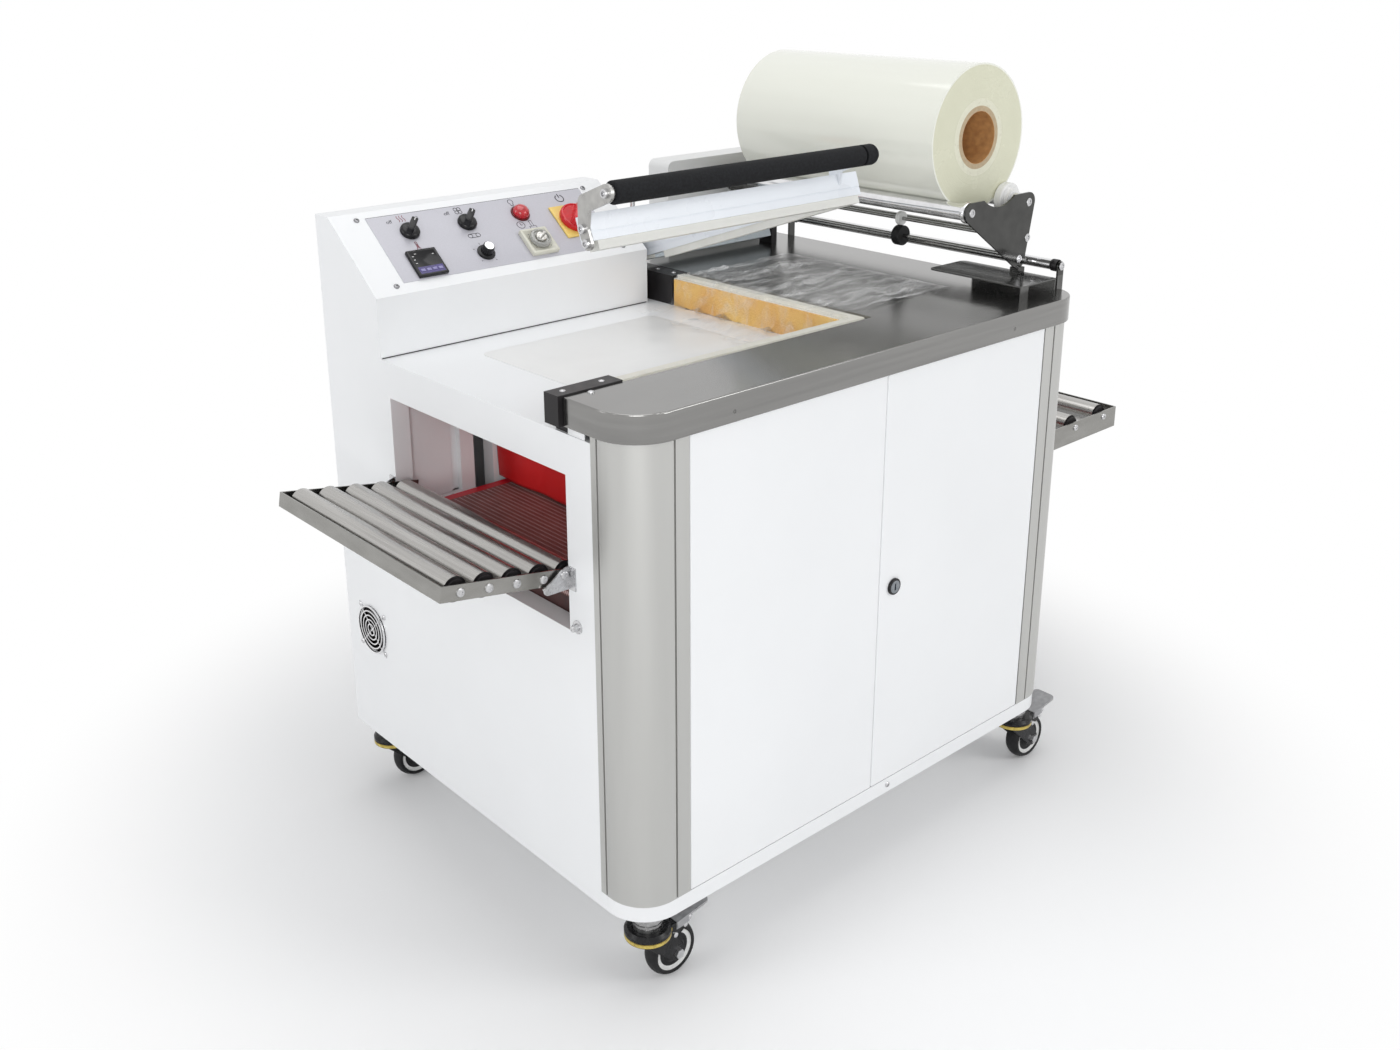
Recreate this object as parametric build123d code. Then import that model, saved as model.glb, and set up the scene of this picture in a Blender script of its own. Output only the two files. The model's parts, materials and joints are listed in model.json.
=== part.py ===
from build123d import *
import os
from math import cos, radians, sin, sqrt

# Shrink wrapping machine: a manual L-bar sealer on top of a hot-air shrink tunnel in a wheeled cabinet.
# Millimetres. The origin is the centre of the base plate's underside, +X runs along the doors towards
# the film roll, +Y runs from the doors to the back and +Z is up.

# Cabinet
cabinet_length = 870.0
cabinet_depth = 700.0
cabinet_sheet = 2.0
table_height = 633.0
base_height = 23.0
base_floor = 3.0
base_rim = 12.0
base_corner = 60.0
column_radius = 56.0
column_front = 86.0
column_side = 75.0
column_wall = 4.0
groove_width = 3.0
groove_depth = 3.0
groove_offset = 6.0
beam_depth = 40.0
beam_drop = 37.0
beam_wall = 3.0
half_length = cabinet_length / 2
half_depth = cabinet_depth / 2

# Worktop of folded stainless sheet
worktop_rise = 47.0
worktop_skirt = 36.0
worktop_overhang = 5.0
worktop_sheet = 2.0
worktop_bend = 1.8
front_strip = 122.0
film_table_margin = 60.0
worktop_height = table_height + worktop_rise
film_table_back = half_depth - film_table_margin
strip_inner = -half_depth - worktop_overhang + front_strip

# Doors and lock
door_depth = 18.0
door_gap = 1.5
door_clearance = 1.0
door_sheet = 2.0
door_lip = 16.0
door_edge_radius = 2.0
hinge_inset = 4.0
hinge_pin_radius = 2.5
hinge_block = 10.0
hinge_pin_reach = 14.0
lock_offset = 29.0
lock_height = 332.0
lock_radius = 9.0
lock_rim_radius = 12.0
lock_rim_height = 4.0
cam_length = 42.0
cam_width = 14.0
cam_thickness = 3.0
running_gap = 0.05
seat_gap = 0.3

# Tunnel through the cabinet
tunnel_side_room = 300.0
tunnel_height = 204.0
tunnel_drop = 52.0
tunnel_centre = -26.0
jamb_depth = 26.0
hood_end_room = 330.0
hood_wall = 25.0
hood_skin = 2.0
inlet_collar = 3.0
blower_inlet_radius = 42.0
curtain_thickness = 3.0
curtain_inset = 2.0
curtain_lift = 3.5
tunnel_width = cabinet_depth - tunnel_side_room
tunnel_top = table_height - tunnel_drop
tunnel_bottom = tunnel_top - tunnel_height
tunnel_front = tunnel_centre - tunnel_width / 2
tunnel_back = tunnel_centre + tunnel_width / 2
hood_length = cabinet_length - hood_end_room

# Belt conveyor
belt_rise = 43.0
belt_side_gap = 14.0
belt_thickness = 1.7
drum_radius = 38.0
drum_end_room = 140.0
drum_shaft_radius = 8.0
rail_thickness = 3.0
rail_gap = 4.0
rail_end_margin = 30.0
rail_drop = 8.0
rail_lap = 5.0
bearer_height = 32.0
bearer_width = 32.0
bearer_drop = 122.0
bearer_wall = 3.0
deck_side = 16.0
deck_thickness = 3.0
gearbox_size = 60.0
gear_motor_length = 150.0
shaft_entry = 30.0
belt_height = tunnel_bottom + belt_rise
belt_width = tunnel_width - 2 * belt_side_gap
drum_spacing = cabinet_length - drum_end_room
bearer_bottom = belt_height - bearer_drop

# White covers beside the belt, between the tunnel mouths and the hood
side_cover_offset = 10.0
side_cover_thickness = 2.0
side_cover_outer = 30.0
side_cover_inner = 98.0
side_post_outer = 110.0
side_post_inner = 133.0
side_post_depth = 10.0
side_cover_lap = 8.0

# Roller trays
tray_gap = 3.0
tray_rail = 2.0
tray_pivot_offset = 8.0
tray_pivot_drop = 6.0
tray_pin_radius = 3.0
tray_axle_radius = 4.0
tray_axle_drop = 10.0
tray_tie_radius = 4.0
stop_pin_place = 22.0
stop_pin_radius = 3.0
roller_bore_gap = 0.05
roller_end_gap = 6.0
roller_cap = 4.0
roller_cap_step = 3.0
ear_thickness = 2.0
ear_foot = 14.0
exit_pivot_rise = 77.0
exit_rail_height = 20.0
exit_tray_angle = 10.0
exit_tray_length = 172.0
exit_rail_inner = -41.0
exit_roller_count = 5
exit_roller_pitch = 39.6
exit_roller_radius = 16.0
exit_first_roller = -13.0
infeed_pivot_rise = 11.0
infeed_rail_height = 36.0
infeed_tray_angle = 0.5
infeed_tray_length = 334.0
infeed_rail_inner = -6.0
infeed_roller_count = 4
infeed_roller_pitch = 85.0
infeed_roller_radius = 19.0
infeed_first_roller = 41.0
exit_pivot_height = tunnel_bottom + exit_pivot_rise
infeed_pivot_height = tunnel_bottom + infeed_pivot_rise

# Casters
caster_side_inset = 42.0
caster_end_inset = 34.0
caster_plate_radius = 28.0
caster_plate_thickness = 4.0
stem_radius = 20.0
stem_height = 21.0
stem_grooves = 3
kingpin_radius = 6.0
crown_radius = 31.0
crown_thickness = 14.0
crown_ring = 6.0
wheel_radius = 37.5
wheel_width = 25.0
wheel_bottom = -116.0
wheel_trail = 37.0
axle_radius = 4.0
fork_side_gap = 2.0
fork_plate = 3.0
pedal_length = 93.0
pedal_width = 38.0
pedal_thickness = 3.0

# Lower seal bars
seal_bar_width = 24.0
seal_bar_drop = 4.0
seal_strip_width = 14.0
seal_strip_height = 4.0
front_bar_gap = 2.0
front_bar_inset = 85.0
cross_bar_offset = 20.0
cross_bar_width = 28.0
cross_bar_margin = 200.0
side_pad_thickness = 4.0
pad_end_room = 4.0
end_block_length = 70.0
end_block_overhang = 12.0
seal_bar_top = worktop_height - seal_bar_drop

# Control box
box_length = 485.0
box_depth = 157.5
box_front_height = 85.7
box_slope_run = 121.5
box_slope_rise = 96.3
box_sheet = 2.0
overlay_thickness = 0.8
spindle_radius = 3.0
spindle_length = 12.0
box_left = -half_length
box_right = box_left + box_length
box_front = half_depth - box_depth
front_bar_left = -half_length + front_bar_inset
cross_bar_left = box_right + cross_bar_offset
cross_bar_right = cross_bar_left + cross_bar_width
cross_bar_back = half_depth - cross_bar_margin

# Seal arm
hinge_margin = 110.0
hinge_rise = 22.0
arm_open_angle = 19.2
arm_width = 25.0
arm_rise = 3.0
arm_lip_height = 11.0
arm_lip_width = 19.0
arm_lip_inset = 8.0
arm_lip_end_room = 62.0
arm_height = 32.0
arm_groove = 1.6
arm_left_inset = 65.0
arm_corner_offset = 3.0
arm_front_offset = 1.0
rear_bar_inset = 75.0
rear_bar_height = 26.0
arm_pin_radius = 6.0
arm_pin_entry = 20.0
bearing_thickness = 12.0
bearing_width = 30.0
bearing_gap = 2.5
left_bearing_rise = 30.0
right_bearing_rise = 20.0
stop_post_rise = 95.0
stop_post_width = 12.0
stop_screw_radius = 4.0
grip_reach = 46.0
grip_rise = 60.0
grip_radius = 14.0
grip_bore = 9.0
grip_end_room = 15.0
grip_round = 3.0
bracket_thickness = 4.0
bracket_foot_depth = 8.5
bracket_foot_drop = 2.0
bracket_foot_radius = 8.0
bracket_eye_radius = 11.0
right_bracket_inset = 35.0
hinge_y = half_depth - hinge_margin
hinge_z = worktop_height + hinge_rise
arm_bottom = worktop_height + arm_rise
arm_left = -half_length + arm_left_inset
arm_right = cross_bar_right - arm_corner_offset
arm_front = strip_inner + arm_front_offset
rear_bar_right = half_length - rear_bar_inset
stop_post_top = worktop_height + stop_post_rise
grip_y = arm_front - grip_reach
grip_z = worktop_height + grip_rise

# Rear cover
cover_width = 240.0
cover_end_room = 5.0
cover_depth = 50.0
cover_rise = 150.0
cover_corner = 12.0
cover_sheet = 2.0
cover_right = half_length - cover_end_room
cover_left = cover_right - cover_width
cover_front = half_depth - cover_depth
cover_top = worktop_height + cover_rise

# Film unit
roll_radius = 107.0
core_radius = 46.0
core_bore = 38.0
roll_front_room = 48.0
roll_back_room = 72.0
cradle_spread = 138.0
cradle_end_room = 17.0
cradle_rise = 126.0
cradle_roller_radius = 12.0
cradle_journal_radius = 5.0
cradle_front_margin = 92.0
cradle_back_margin = 88.0
cradle_plate = 3.0
lobe_radius = 15.0
lobe_dip_radius = 60.0
tip_room = 33.0
tip_rise = 42.0
tie_room = 15.0
tie_rise = 72.0
tie_radius = 5.0
rod_room = 59.0
rod_rise = 52.0
rod_radius = 3.0
disc_radius = 25.0
disc_width = 14.0
disc_gap = 0.6
rubber_radius = 16.0
rubber_width = 14.0
needle_radius = 11.0
needle_width = 8.0
wheel_place = -50.0
tray_width = 86.0
tray_end_room = 25.0
tray_reach = 62.0
tray_depth = 170.0
tray_rise = 22.0
tray_sheet = 2.0
tray_corner = 10.0
lower_roller_room = 6.0
lower_roller_rise = 36.0
lower_roller_radius = 8.0
lower_journal_radius = 4.0
post_width = 14.0
post_thickness = 3.0
post_back_room = 22.0
film_thickness = 1.0
film_right_room = 115.0
film_front_room = 57.0
film_back_room = 10.0
film_reach = 105.0
mat_left_room = 32.0
mat_right_room = 50.0
mat_front_room = 11.0
mat_back_room = 70.0
mat_thickness = 1.0
mat_corner = 14.0
cradle_right_x = half_length - cradle_end_room
cradle_left_x = cradle_right_x - cradle_spread
cradle_z = worktop_height + cradle_rise
cradle_front = -half_depth + cradle_front_margin
cradle_back = half_depth - cradle_back_margin
roll_front = cradle_front + roll_front_room
roll_back = cradle_back - roll_back_room
tip_x = half_length - tip_room
tip_z = worktop_height + tip_rise
tie_x = half_length - tie_room
tie_z = worktop_height + tie_rise
rod_x_place = half_length - rod_room
rod_z_place = worktop_height + rod_rise
tray_right = half_length - tray_end_room
tray_left = tray_right - tray_width
tray_front = cradle_front - tray_reach
tray_back = tray_front + tray_depth
tray_height = worktop_height + tray_rise
lower_roller_x = half_length - lower_roller_room
lower_roller_z = worktop_height + lower_roller_rise
post_front = tray_front + lobe_radius / 3
post_back = cradle_back - post_back_room

# Cooling fan
fan_margin = 74.0
fan_z = 187.0
fan_size = 80.0
fan_depth = 25.0
fan_bore = 37.0
fan_hub = 14.0
fan_blades = 7
guard_rings = 5
guard_wire = 2.0
fan_y = half_depth - fan_margin

# Hot-air blower behind the tunnel
blower_x = 0.0
scroll_radius = 78.0
scroll_mouth = 30.0
scroll_depth = 56.0
scroll_wall = 3.0
impeller_radius = 62.0
impeller_blades = 16
motor_radius = 44.0
motor_length = 72.0
motor_shaft_radius = 6.0
heater_radius = 6.0
heater_drop = 16.0
heater_side_room = 70.0
heater_end_room = 60.0
blower_z = tunnel_bottom + tunnel_height / 2


def block(x0, x1, y0, y1, z0, z1):
    """A box from its low and high corners."""
    return Pos((x0 + x1) / 2, (y0 + y1) / 2, (z0 + z1) / 2) * Box(x1 - x0, y1 - y0, z1 - z0)


def rod_along_x(y, z, radius, x0, x1):
    """A round bar along X."""
    return Pos((x0 + x1) / 2, y, z) * Rot(0, 90, 0) * Cylinder(radius, x1 - x0)


def rod_along_y(x, z, radius, y0, y1):
    """A round bar along Y."""
    return Pos(x, (y0 + y1) / 2, z) * Rot(90, 0, 0) * Cylinder(radius, y1 - y0)


def rod_along_z(x, y, radius, z0, z1):
    """An upright round bar."""
    return Pos(x, y, (z0 + z1) / 2) * Cylinder(radius, z1 - z0)


def plate_xz(outline, y0, y1):
    """An outline drawn in X and Z, as thick as y0 to y1."""
    return extrude(Plane((0, y1, 0), x_dir=(1, 0, 0), z_dir=(0, -1, 0)) * outline, y1 - y0)


def plate_yz(outline, x0, x1):
    """An outline drawn in Y and Z, as thick as x0 to x1."""
    return extrude(Plane((x0, 0, 0), x_dir=(0, 1, 0), z_dir=(1, 0, 0)) * outline, x1 - x0)


def plate_xy(outline, z0, z1):
    """An outline drawn in plan, as thick as z0 to z1."""
    return extrude(Pos(0, 0, z0) * outline, z1 - z0)


def mirror_x(shape):
    """The same piece at the other end of the cabinet."""
    return mirror(shape, about=Plane.YZ)


def write(name, *solids):
    """One STEP file for one node."""
    export_step(Compound(label=name, children=list(solids)), f"parts/{name}.step")


def rounded_front(length, depth, corner):
    """A plan outline whose two front corners are rounded."""
    outline = Rectangle(length, depth)
    front = outline.vertices().sort_by(Axis.Y)[:2]
    return fillet(front, corner)


def base_plate():
    """Pressed steel floor with a raised rim that the walls and columns stand on."""
    outline = rounded_front(cabinet_length, cabinet_depth, base_corner)
    pocket_corner = base_corner - base_rim
    pocket = rounded_front(cabinet_length - 2 * base_rim, cabinet_depth - 2 * base_rim, pocket_corner)
    return plate_xy(outline, 0, base_height) - plate_xy(pocket, base_floor, base_height)


column_back = door_depth + door_clearance
column_top = worktop_height - worktop_skirt


def corner_column():
    """Extruded aluminium corner post at the left front, quarter round with a groove down each side."""
    left = -half_length
    front = -half_depth
    reach = column_radius
    corners = [(left, front + reach), (left, front), (left + reach, front),
               (left + reach, front + column_back), (left + column_back, front + reach)]
    outline = Pos(left + reach, front + reach) * Circle(reach)
    outline &= make_face(Polyline(*corners, close=True).edges())
    outline += Pos(left + (reach + column_front) / 2, front + column_back / 2) * Rectangle(
        column_front - reach, column_back)
    outline += Pos(left + column_back / 2, front + (reach + column_side) / 2) * Rectangle(
        column_back, column_side - reach)
    hollow = offset(outline, -column_wall, kind=Kind.INTERSECTION)
    post = plate_xy(outline, base_height, column_top) - plate_xy(hollow, base_height, column_top)
    at = column_radius + groove_offset
    post -= block(left + at, left + at + groove_width, front, front + groove_depth, base_height, column_top)
    post -= block(left, left + groove_depth, front + at, front + at + groove_width, base_height, column_top)
    return post


def tunnel_mouth(x0, x1, margin=0.0):
    """The opening that packages pass through, at one end wall."""
    return block(x0, x1, tunnel_front - margin, tunnel_back + margin,
                 tunnel_bottom - margin, tunnel_top + margin)


beam_front = -half_depth + column_back
beam_back = beam_front + beam_depth
curb_top = worktop_height - worktop_sheet


def cabinet_shell():
    """Welded sheet cabinet: end walls, rear wall, table top, tunnel jambs and the beam above the doors."""
    inner = half_length - cabinet_sheet
    wall_front = -half_depth + column_side
    left_wall = block(-half_length, -inner, wall_front, half_depth, base_height, table_height)
    left_wall += block(-inner, -inner + 20, wall_front, wall_front + cabinet_sheet,
                       base_height, table_height)
    left_wall += tunnel_mouth(-inner, -inner + jamb_depth, cabinet_sheet)
    left_wall -= tunnel_mouth(-half_length, -inner + jamb_depth)
    right_wall = mirror_x(left_wall)
    curb_back = film_table_back - worktop_sheet
    right_wall += block(inner, half_length, wall_front, curb_back, table_height, curb_top)
    left_wall -= rod_along_x(fan_y, fan_z, fan_bore, -half_length, -inner)
    rear_wall = block(-inner, inner, half_depth - cabinet_sheet, half_depth, base_height, table_height)
    table = block(-inner, inner, wall_front, half_depth - cabinet_sheet,
                  table_height - cabinet_sheet, table_height)
    between = half_length - column_back
    table += block(-between, between, beam_back, wall_front, table_height - cabinet_sheet, table_height)
    reach = half_length - column_radius
    beam = block(-reach, reach, beam_front, beam_back, table_height - beam_drop, curb_top)
    beam -= block(-reach, reach, beam_front + beam_wall, beam_back - beam_wall,
                  table_height - beam_drop + beam_wall, curb_top - beam_wall)
    return left_wall + right_wall + rear_wall + table + beam


film_table_left = cross_bar_right + front_bar_gap


def worktop():
    """Folded stainless worktop: a strip along the front and the film table at the right."""
    length = cabinet_length + 2 * worktop_overhang
    front = -half_depth - worktop_overhang
    depth = film_table_back - front
    corner = column_radius + worktop_overhang
    outline = Pos(0, (front + film_table_back) / 2) * rounded_front(length, depth, corner)
    left = -length / 2
    cut_width = film_table_left - left
    cut_depth = film_table_back - strip_inner
    outline -= Pos(left + cut_width / 2, strip_inner + cut_depth / 2) * Rectangle(cut_width, cut_depth)
    inside = offset(outline, -worktop_sheet, kind=Kind.INTERSECTION)
    top = plate_xy(outline, worktop_height - worktop_sheet, worktop_height)
    skirt = plate_xy(outline, column_top, worktop_height)
    skirt -= plate_xy(inside, column_top, worktop_height)
    body = top + skirt
    bend = body.edges().filter_by_position(Axis.Z, worktop_height - 0.01, worktop_height + 0.01)
    right_part = film_table_left + 1
    bend = [edge for edge in bend if edge.center().Y < strip_inner - 1 or edge.center().X > right_part]
    body = fillet(bend, worktop_bend)
    low = table_height
    body += block(-half_length + cabinet_sheet, film_table_left, strip_inner - worktop_sheet, strip_inner,
                  low, column_top)
    body += block(film_table_left, film_table_left + worktop_sheet, strip_inner - worktop_sheet,
                  film_table_back, low, column_top)
    body += block(film_table_left, half_length - cabinet_sheet, film_table_back - worktop_sheet,
                  film_table_back, low, column_top)
    return body


front_bar_front = strip_inner + front_bar_gap
front_bar_back = front_bar_front + seal_bar_width


def lower_seal_bars():
    """Two aluminium bars in an L with silicone strips on top and a sponge pad beside the cross bar."""
    front_bar = block(front_bar_left, cross_bar_right, front_bar_front, front_bar_back,
                      table_height, seal_bar_top)
    cross_bar = block(cross_bar_left, cross_bar_right, front_bar_back, cross_bar_back,
                      table_height, seal_bar_top)
    top = seal_bar_top + seal_strip_height
    middle = (front_bar_front + front_bar_back) / 2
    across = (cross_bar_left + cross_bar_right) / 2
    half = seal_strip_width / 2
    front_strip_solid = block(front_bar_left, across + half, middle - half, middle + half, seal_bar_top, top)
    cross_strip_solid = block(across - half, across + half, middle + half, cross_bar_back, seal_bar_top, top)
    pad = block(cross_bar_left - side_pad_thickness, cross_bar_left, front_bar_back + pad_end_room,
                cross_bar_back - pad_end_room, table_height, seal_bar_top - 1)
    return [front_bar + cross_bar, front_strip_solid + cross_strip_solid, pad]


def seal_end_blocks():
    """Black insulating blocks that hold the ends of the sealing wires."""
    top = seal_bar_top + seal_strip_height
    left = block(-half_length - end_block_overhang, front_bar_left, front_bar_front - 1, front_bar_back + 2,
                 column_top, top + 2)
    left += block(-half_length + 4, front_bar_left, front_bar_front - 1, front_bar_back + 2,
                  table_height, column_top)
    rear = block(cross_bar_left - side_pad_thickness, cross_bar_right, cross_bar_back,
                 cross_bar_back + end_block_length, table_height, top)
    return [left, rear]


arm_shoulder = arm_bottom + arm_lip_height
arm_top = arm_shoulder + arm_height


def bar_section():
    """Section of the arm's extrusion about its own centre line, with a groove along its front."""
    body = Pos(0, (arm_shoulder + arm_top) / 2) * Rectangle(arm_width, arm_height)
    body -= Pos(-arm_width / 2, arm_shoulder + arm_height / 3) * Rectangle(arm_groove, arm_groove)
    return body


def raised(shape):
    """Turns a piece of the closed arm up to where it rests open."""
    return Pos(0, hinge_y, hinge_z) * Rot(-arm_open_angle, 0, 0) * Pos(0, -hinge_y, -hinge_z) * shape


def seal_arm():
    """Mitred L frame of aluminium extrusion with a rear bar that turns on the hinge pins."""
    middle = arm_front + arm_width / 2
    front_bar = plate_yz(Pos(middle, 0) * bar_section(), arm_left, arm_right)
    across = arm_right - arm_width / 2
    rear_front = hinge_y - arm_width / 2
    cross_bar = plate_xz(Pos(across, 0) * bar_section(), arm_front + arm_width, rear_front)
    half = arm_lip_width / 2
    front_lip = block(arm_left + arm_lip_inset, across + half, middle - half, middle + half,
                      arm_bottom, arm_shoulder)
    cross_lip = block(across - half, across + half, middle, hinge_y - arm_lip_end_room,
                      arm_bottom, arm_shoulder)
    rear_bar = block(arm_right - arm_width, rear_bar_right, rear_front, hinge_y + arm_width / 2,
                     hinge_z - rear_bar_height / 2, hinge_z + rear_bar_height / 2)
    bore = arm_pin_radius + running_gap
    rear_bar -= rod_along_x(hinge_y, hinge_z, bore, arm_right - arm_width,
                            arm_right - arm_width + arm_pin_entry + 1)
    rear_bar -= rod_along_x(hinge_y, hinge_z, bore, rear_bar_right - arm_pin_entry - 1, rear_bar_right)
    return raised(front_bar + cross_bar + rear_bar + front_lip + cross_lip)


def bracket_outline():
    """Curved outline of the handle brackets: a foot on the bar, an elbow above it and the grip's eye."""
    foot_y = arm_front + bracket_foot_depth
    foot = Pos(foot_y, arm_shoulder - bracket_foot_drop) * Circle(bracket_foot_radius)
    knee = Pos(foot_y + 2, arm_top - 2 * bracket_foot_radius) * Circle(bracket_foot_radius + 1)
    elbow = Pos(foot_y - 10, grip_z - 2) * Circle(bracket_eye_radius)
    eye = Pos(grip_y, grip_z) * Circle(bracket_eye_radius)
    outline = make_hull(foot.edges() + knee.edges())
    outline += make_hull(knee.edges() + elbow.edges())
    return outline + make_hull(elbow.edges() + eye.edges())


def arm_handle():
    """Foam grip on a tube. The left bracket closes the bar's end, the right one stands on the bar."""
    left = plate_yz(bracket_outline(), arm_left - bracket_thickness, arm_left)
    place = arm_right - right_bracket_inset
    right = plate_yz(bracket_outline(), place - bracket_thickness, place)
    right -= block(place - 10, place + 10, arm_front, arm_front + arm_width + 10, arm_bottom, arm_top)
    right_end = arm_right - grip_end_room
    grip = rod_along_x(grip_y, grip_z, grip_radius, arm_left + 4, right_end)
    grip = fillet(grip.edges().filter_by(GeomType.CIRCLE), grip_round)
    tube = rod_along_x(grip_y, grip_z, grip_bore, arm_left, right_end)
    grip -= block(place - bracket_thickness, place, grip_y - 30, grip_y + 60, grip_z - 30, grip_z + 30)
    tube -= block(place - bracket_thickness, place, grip_y - 30, grip_y + 60, grip_z - 30, grip_z + 30)
    solids = [left, right] + list((grip - tube).solids()) + list(tube.solids())
    return [raised(solid) for solid in solids]


def bearing_outline(width, low, high):
    """Upright bearing plate, rounded over the pin."""
    plate = Pos(hinge_y, (low + high - width / 2) / 2) * Rectangle(width, high - width / 2 - low)
    return plate + Pos(hinge_y, high - width / 2) * Circle(width / 2)


def arm_bearings():
    """Two black bearing plates with the hinge pins, and the stop post with its adjusting screw."""
    left_face = arm_right - arm_width - bearing_gap
    high = hinge_z + left_bearing_rise
    outline = bearing_outline(bearing_width, table_height, high)
    left = plate_yz(outline, left_face - bearing_thickness, left_face)
    left += rod_along_x(hinge_y, hinge_z, arm_pin_radius, left_face, left_face + bearing_gap + arm_pin_entry)
    middle = left_face - bearing_thickness / 2
    half = stop_post_width / 2
    left += block(middle - half, middle + half, hinge_y - half, hinge_y + half, high - 4, stop_post_top)
    left += rod_along_z(middle, hinge_y, stop_screw_radius, stop_post_top, stop_post_top + stop_post_width)
    right_face = rear_bar_right + bearing_gap
    high = hinge_z + right_bearing_rise
    outline = bearing_outline(bearing_width, worktop_height, high)
    right = plate_yz(outline, right_face, right_face + bearing_thickness)
    pin_end = right_face - bearing_gap - arm_pin_entry
    right += rod_along_x(hinge_y, hinge_z, arm_pin_radius, pin_end, right_face)
    return [left, right]


panel_angle_run = sqrt(box_slope_run ** 2 + box_slope_rise ** 2)
panel_normal = (0, -box_slope_rise / panel_angle_run, box_slope_run / panel_angle_run)
panel_plane = Plane((box_left, box_front, table_height + box_front_height), x_dir=(1, 0, 0),
                    z_dir=panel_normal)


def on_panel(across, up, shape, lift=0.0):
    """Sets a piece on the sloping panel: across from its left end, up from its lower edge."""
    return panel_plane.location * Pos(across, up, lift) * shape


first_column = 107.5
last_column = box_length - 95.5
column_pitch = (last_column - first_column) / 3
second_column = first_column + column_pitch + 4.0
third_column = first_column + 2 * column_pitch + 6.0
selector_places = {"heater_switch": (first_column, 105.5), "blower_switch": (second_column, 105.5)}
speed_place = (second_column, 45.5)
timer_place = (third_column, 47.5)
controller_place = (first_column - 4.5, 44.0)
lamp_place = (third_column + 2.5, 108.5)
main_place = (last_column, 78.0)
main_plate = 64.0
meter_size = 48.0
bezel_height = 6.0
timer_height = 8.0
knob_lift = seat_gap
lamp_radius = 13.5
lamp_rim = 3.0
selector_radius = 15.0
selector_skirt = 8.0
selector_grip = (9.0, 29.0, 13.0)
selector_turn = -42.0
overlay_low = (53.0, 18.0)
overlay_high = (box_length - 48.0, 142.0)


def spindle_holes(radius):
    """Clearance holes for the four knob spindles and the main switch."""
    places = list(selector_places.values()) + [speed_place, main_place]
    return [on_panel(*place, Cylinder(radius, 40)) for place in places]


def control_box():
    """Folded steel housing with a sloping face, open underneath."""
    low = table_height
    knee = low + box_front_height
    high = knee + box_slope_rise
    slope_back = box_front + box_slope_run
    points = [(box_front, low), (box_front, knee), (slope_back, high), (half_depth, high), (half_depth, low)]
    outline = make_face(Polyline(*points, close=True).edges())
    inner = offset(outline, -box_sheet, kind=Kind.INTERSECTION)
    inner += Pos((box_front + half_depth) / 2, low + box_sheet) * Rectangle(
        half_depth - box_front - 2 * box_sheet, 2 * box_sheet)
    body = plate_yz(outline, box_left, box_left + box_length)
    body -= plate_yz(inner, box_left + box_sheet, box_left + box_length - box_sheet)
    for hole in spindle_holes(spindle_radius + running_gap):
        body -= hole
    return body


def panel_fittings():
    """Overlay, temperature controller, timer, lamp and the yellow plate of the main switch."""
    width = overlay_high[0] - overlay_low[0]
    height = overlay_high[1] - overlay_low[1]
    overlay = Pos(0, 0, overlay_thickness / 2) * Box(width, height, overlay_thickness)
    across = (overlay_low[0] + overlay_high[0]) / 2
    up = (overlay_low[1] + overlay_high[1]) / 2
    overlay = on_panel(across, up, overlay)
    for hole in spindle_holes(spindle_radius + running_gap):
        overlay -= hole
    lift = overlay_thickness
    controller = fillet(Box(meter_size, meter_size, bezel_height).edges().filter_by(Axis.Z), 2)
    controller = on_panel(*controller_place, Pos(0, 0, bezel_height / 2) * controller, lift)
    timer = Pos(0, 0, timer_height / 2) * Box(meter_size, meter_size, timer_height)
    timer -= Pos(0, 0, timer_height / 2) * Cylinder(spindle_radius + running_gap, timer_height)
    timer = on_panel(*timer_place, timer, lift)
    dome = Pos(0, 0, lamp_rim) * Sphere(lamp_radius) & Pos(0, 0, lamp_rim + lamp_radius / 2) * Box(
        2 * lamp_radius, 2 * lamp_radius, lamp_radius)
    lamp = Pos(0, 0, lamp_rim / 2) * Cylinder(lamp_radius + 2, lamp_rim) + dome
    lamp = on_panel(*lamp_place, lamp, lift)
    plate = Pos(0, 0, 1.5) * Box(main_plate, main_plate, 3) - Cylinder(spindle_radius + running_gap, 20)
    plate = on_panel(*main_place, plate, lift)
    return [overlay, controller, timer, lamp, plate]


def selector(place):
    """Bar-grip selector knob on its spindle."""
    skirt = Pos(0, 0, selector_skirt / 2) * Cylinder(selector_radius, selector_skirt)
    skirt = chamfer(skirt.edges().filter_by(GeomType.CIRCLE).sort_by(Axis.Z)[-1:], 2)
    grip = Pos(0, 0, selector_grip[2] / 2) * Box(*selector_grip)
    grip = fillet(grip.edges().filter_by(Axis.Z), 2)
    grip = Pos(0, 0, selector_skirt - 1) * Rot(0, 0, selector_turn) * grip
    knob = skirt + grip
    knob += Pos(0, 0, -spindle_length / 2) * Cylinder(spindle_radius, spindle_length)
    return on_panel(*place, knob, overlay_thickness + knob_lift)


def speed_knob():
    """Skirted knob for the belt speed."""
    knob = Pos(0, 0, 2) * Cylinder(14, 4)
    knob += Pos(0, 0, 10) * Cone(10, 8.5, 12)
    knob += Pos(0, 0, -spindle_length / 2) * Cylinder(spindle_radius, spindle_length)
    return on_panel(*speed_place, knob, overlay_thickness + knob_lift)


def timer_dial():
    """Clear dial of the seal timer."""
    dial = Pos(0, 0, 3) * Cylinder(17, 6)
    dial += Pos(0, 0, 9) * Box(6, 24, 6)
    length = timer_height - knob_lift
    dial += Pos(0, 0, -length / 2) * Cylinder(spindle_radius, length)
    return on_panel(*timer_place, dial, overlay_thickness + timer_height + knob_lift)


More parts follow.
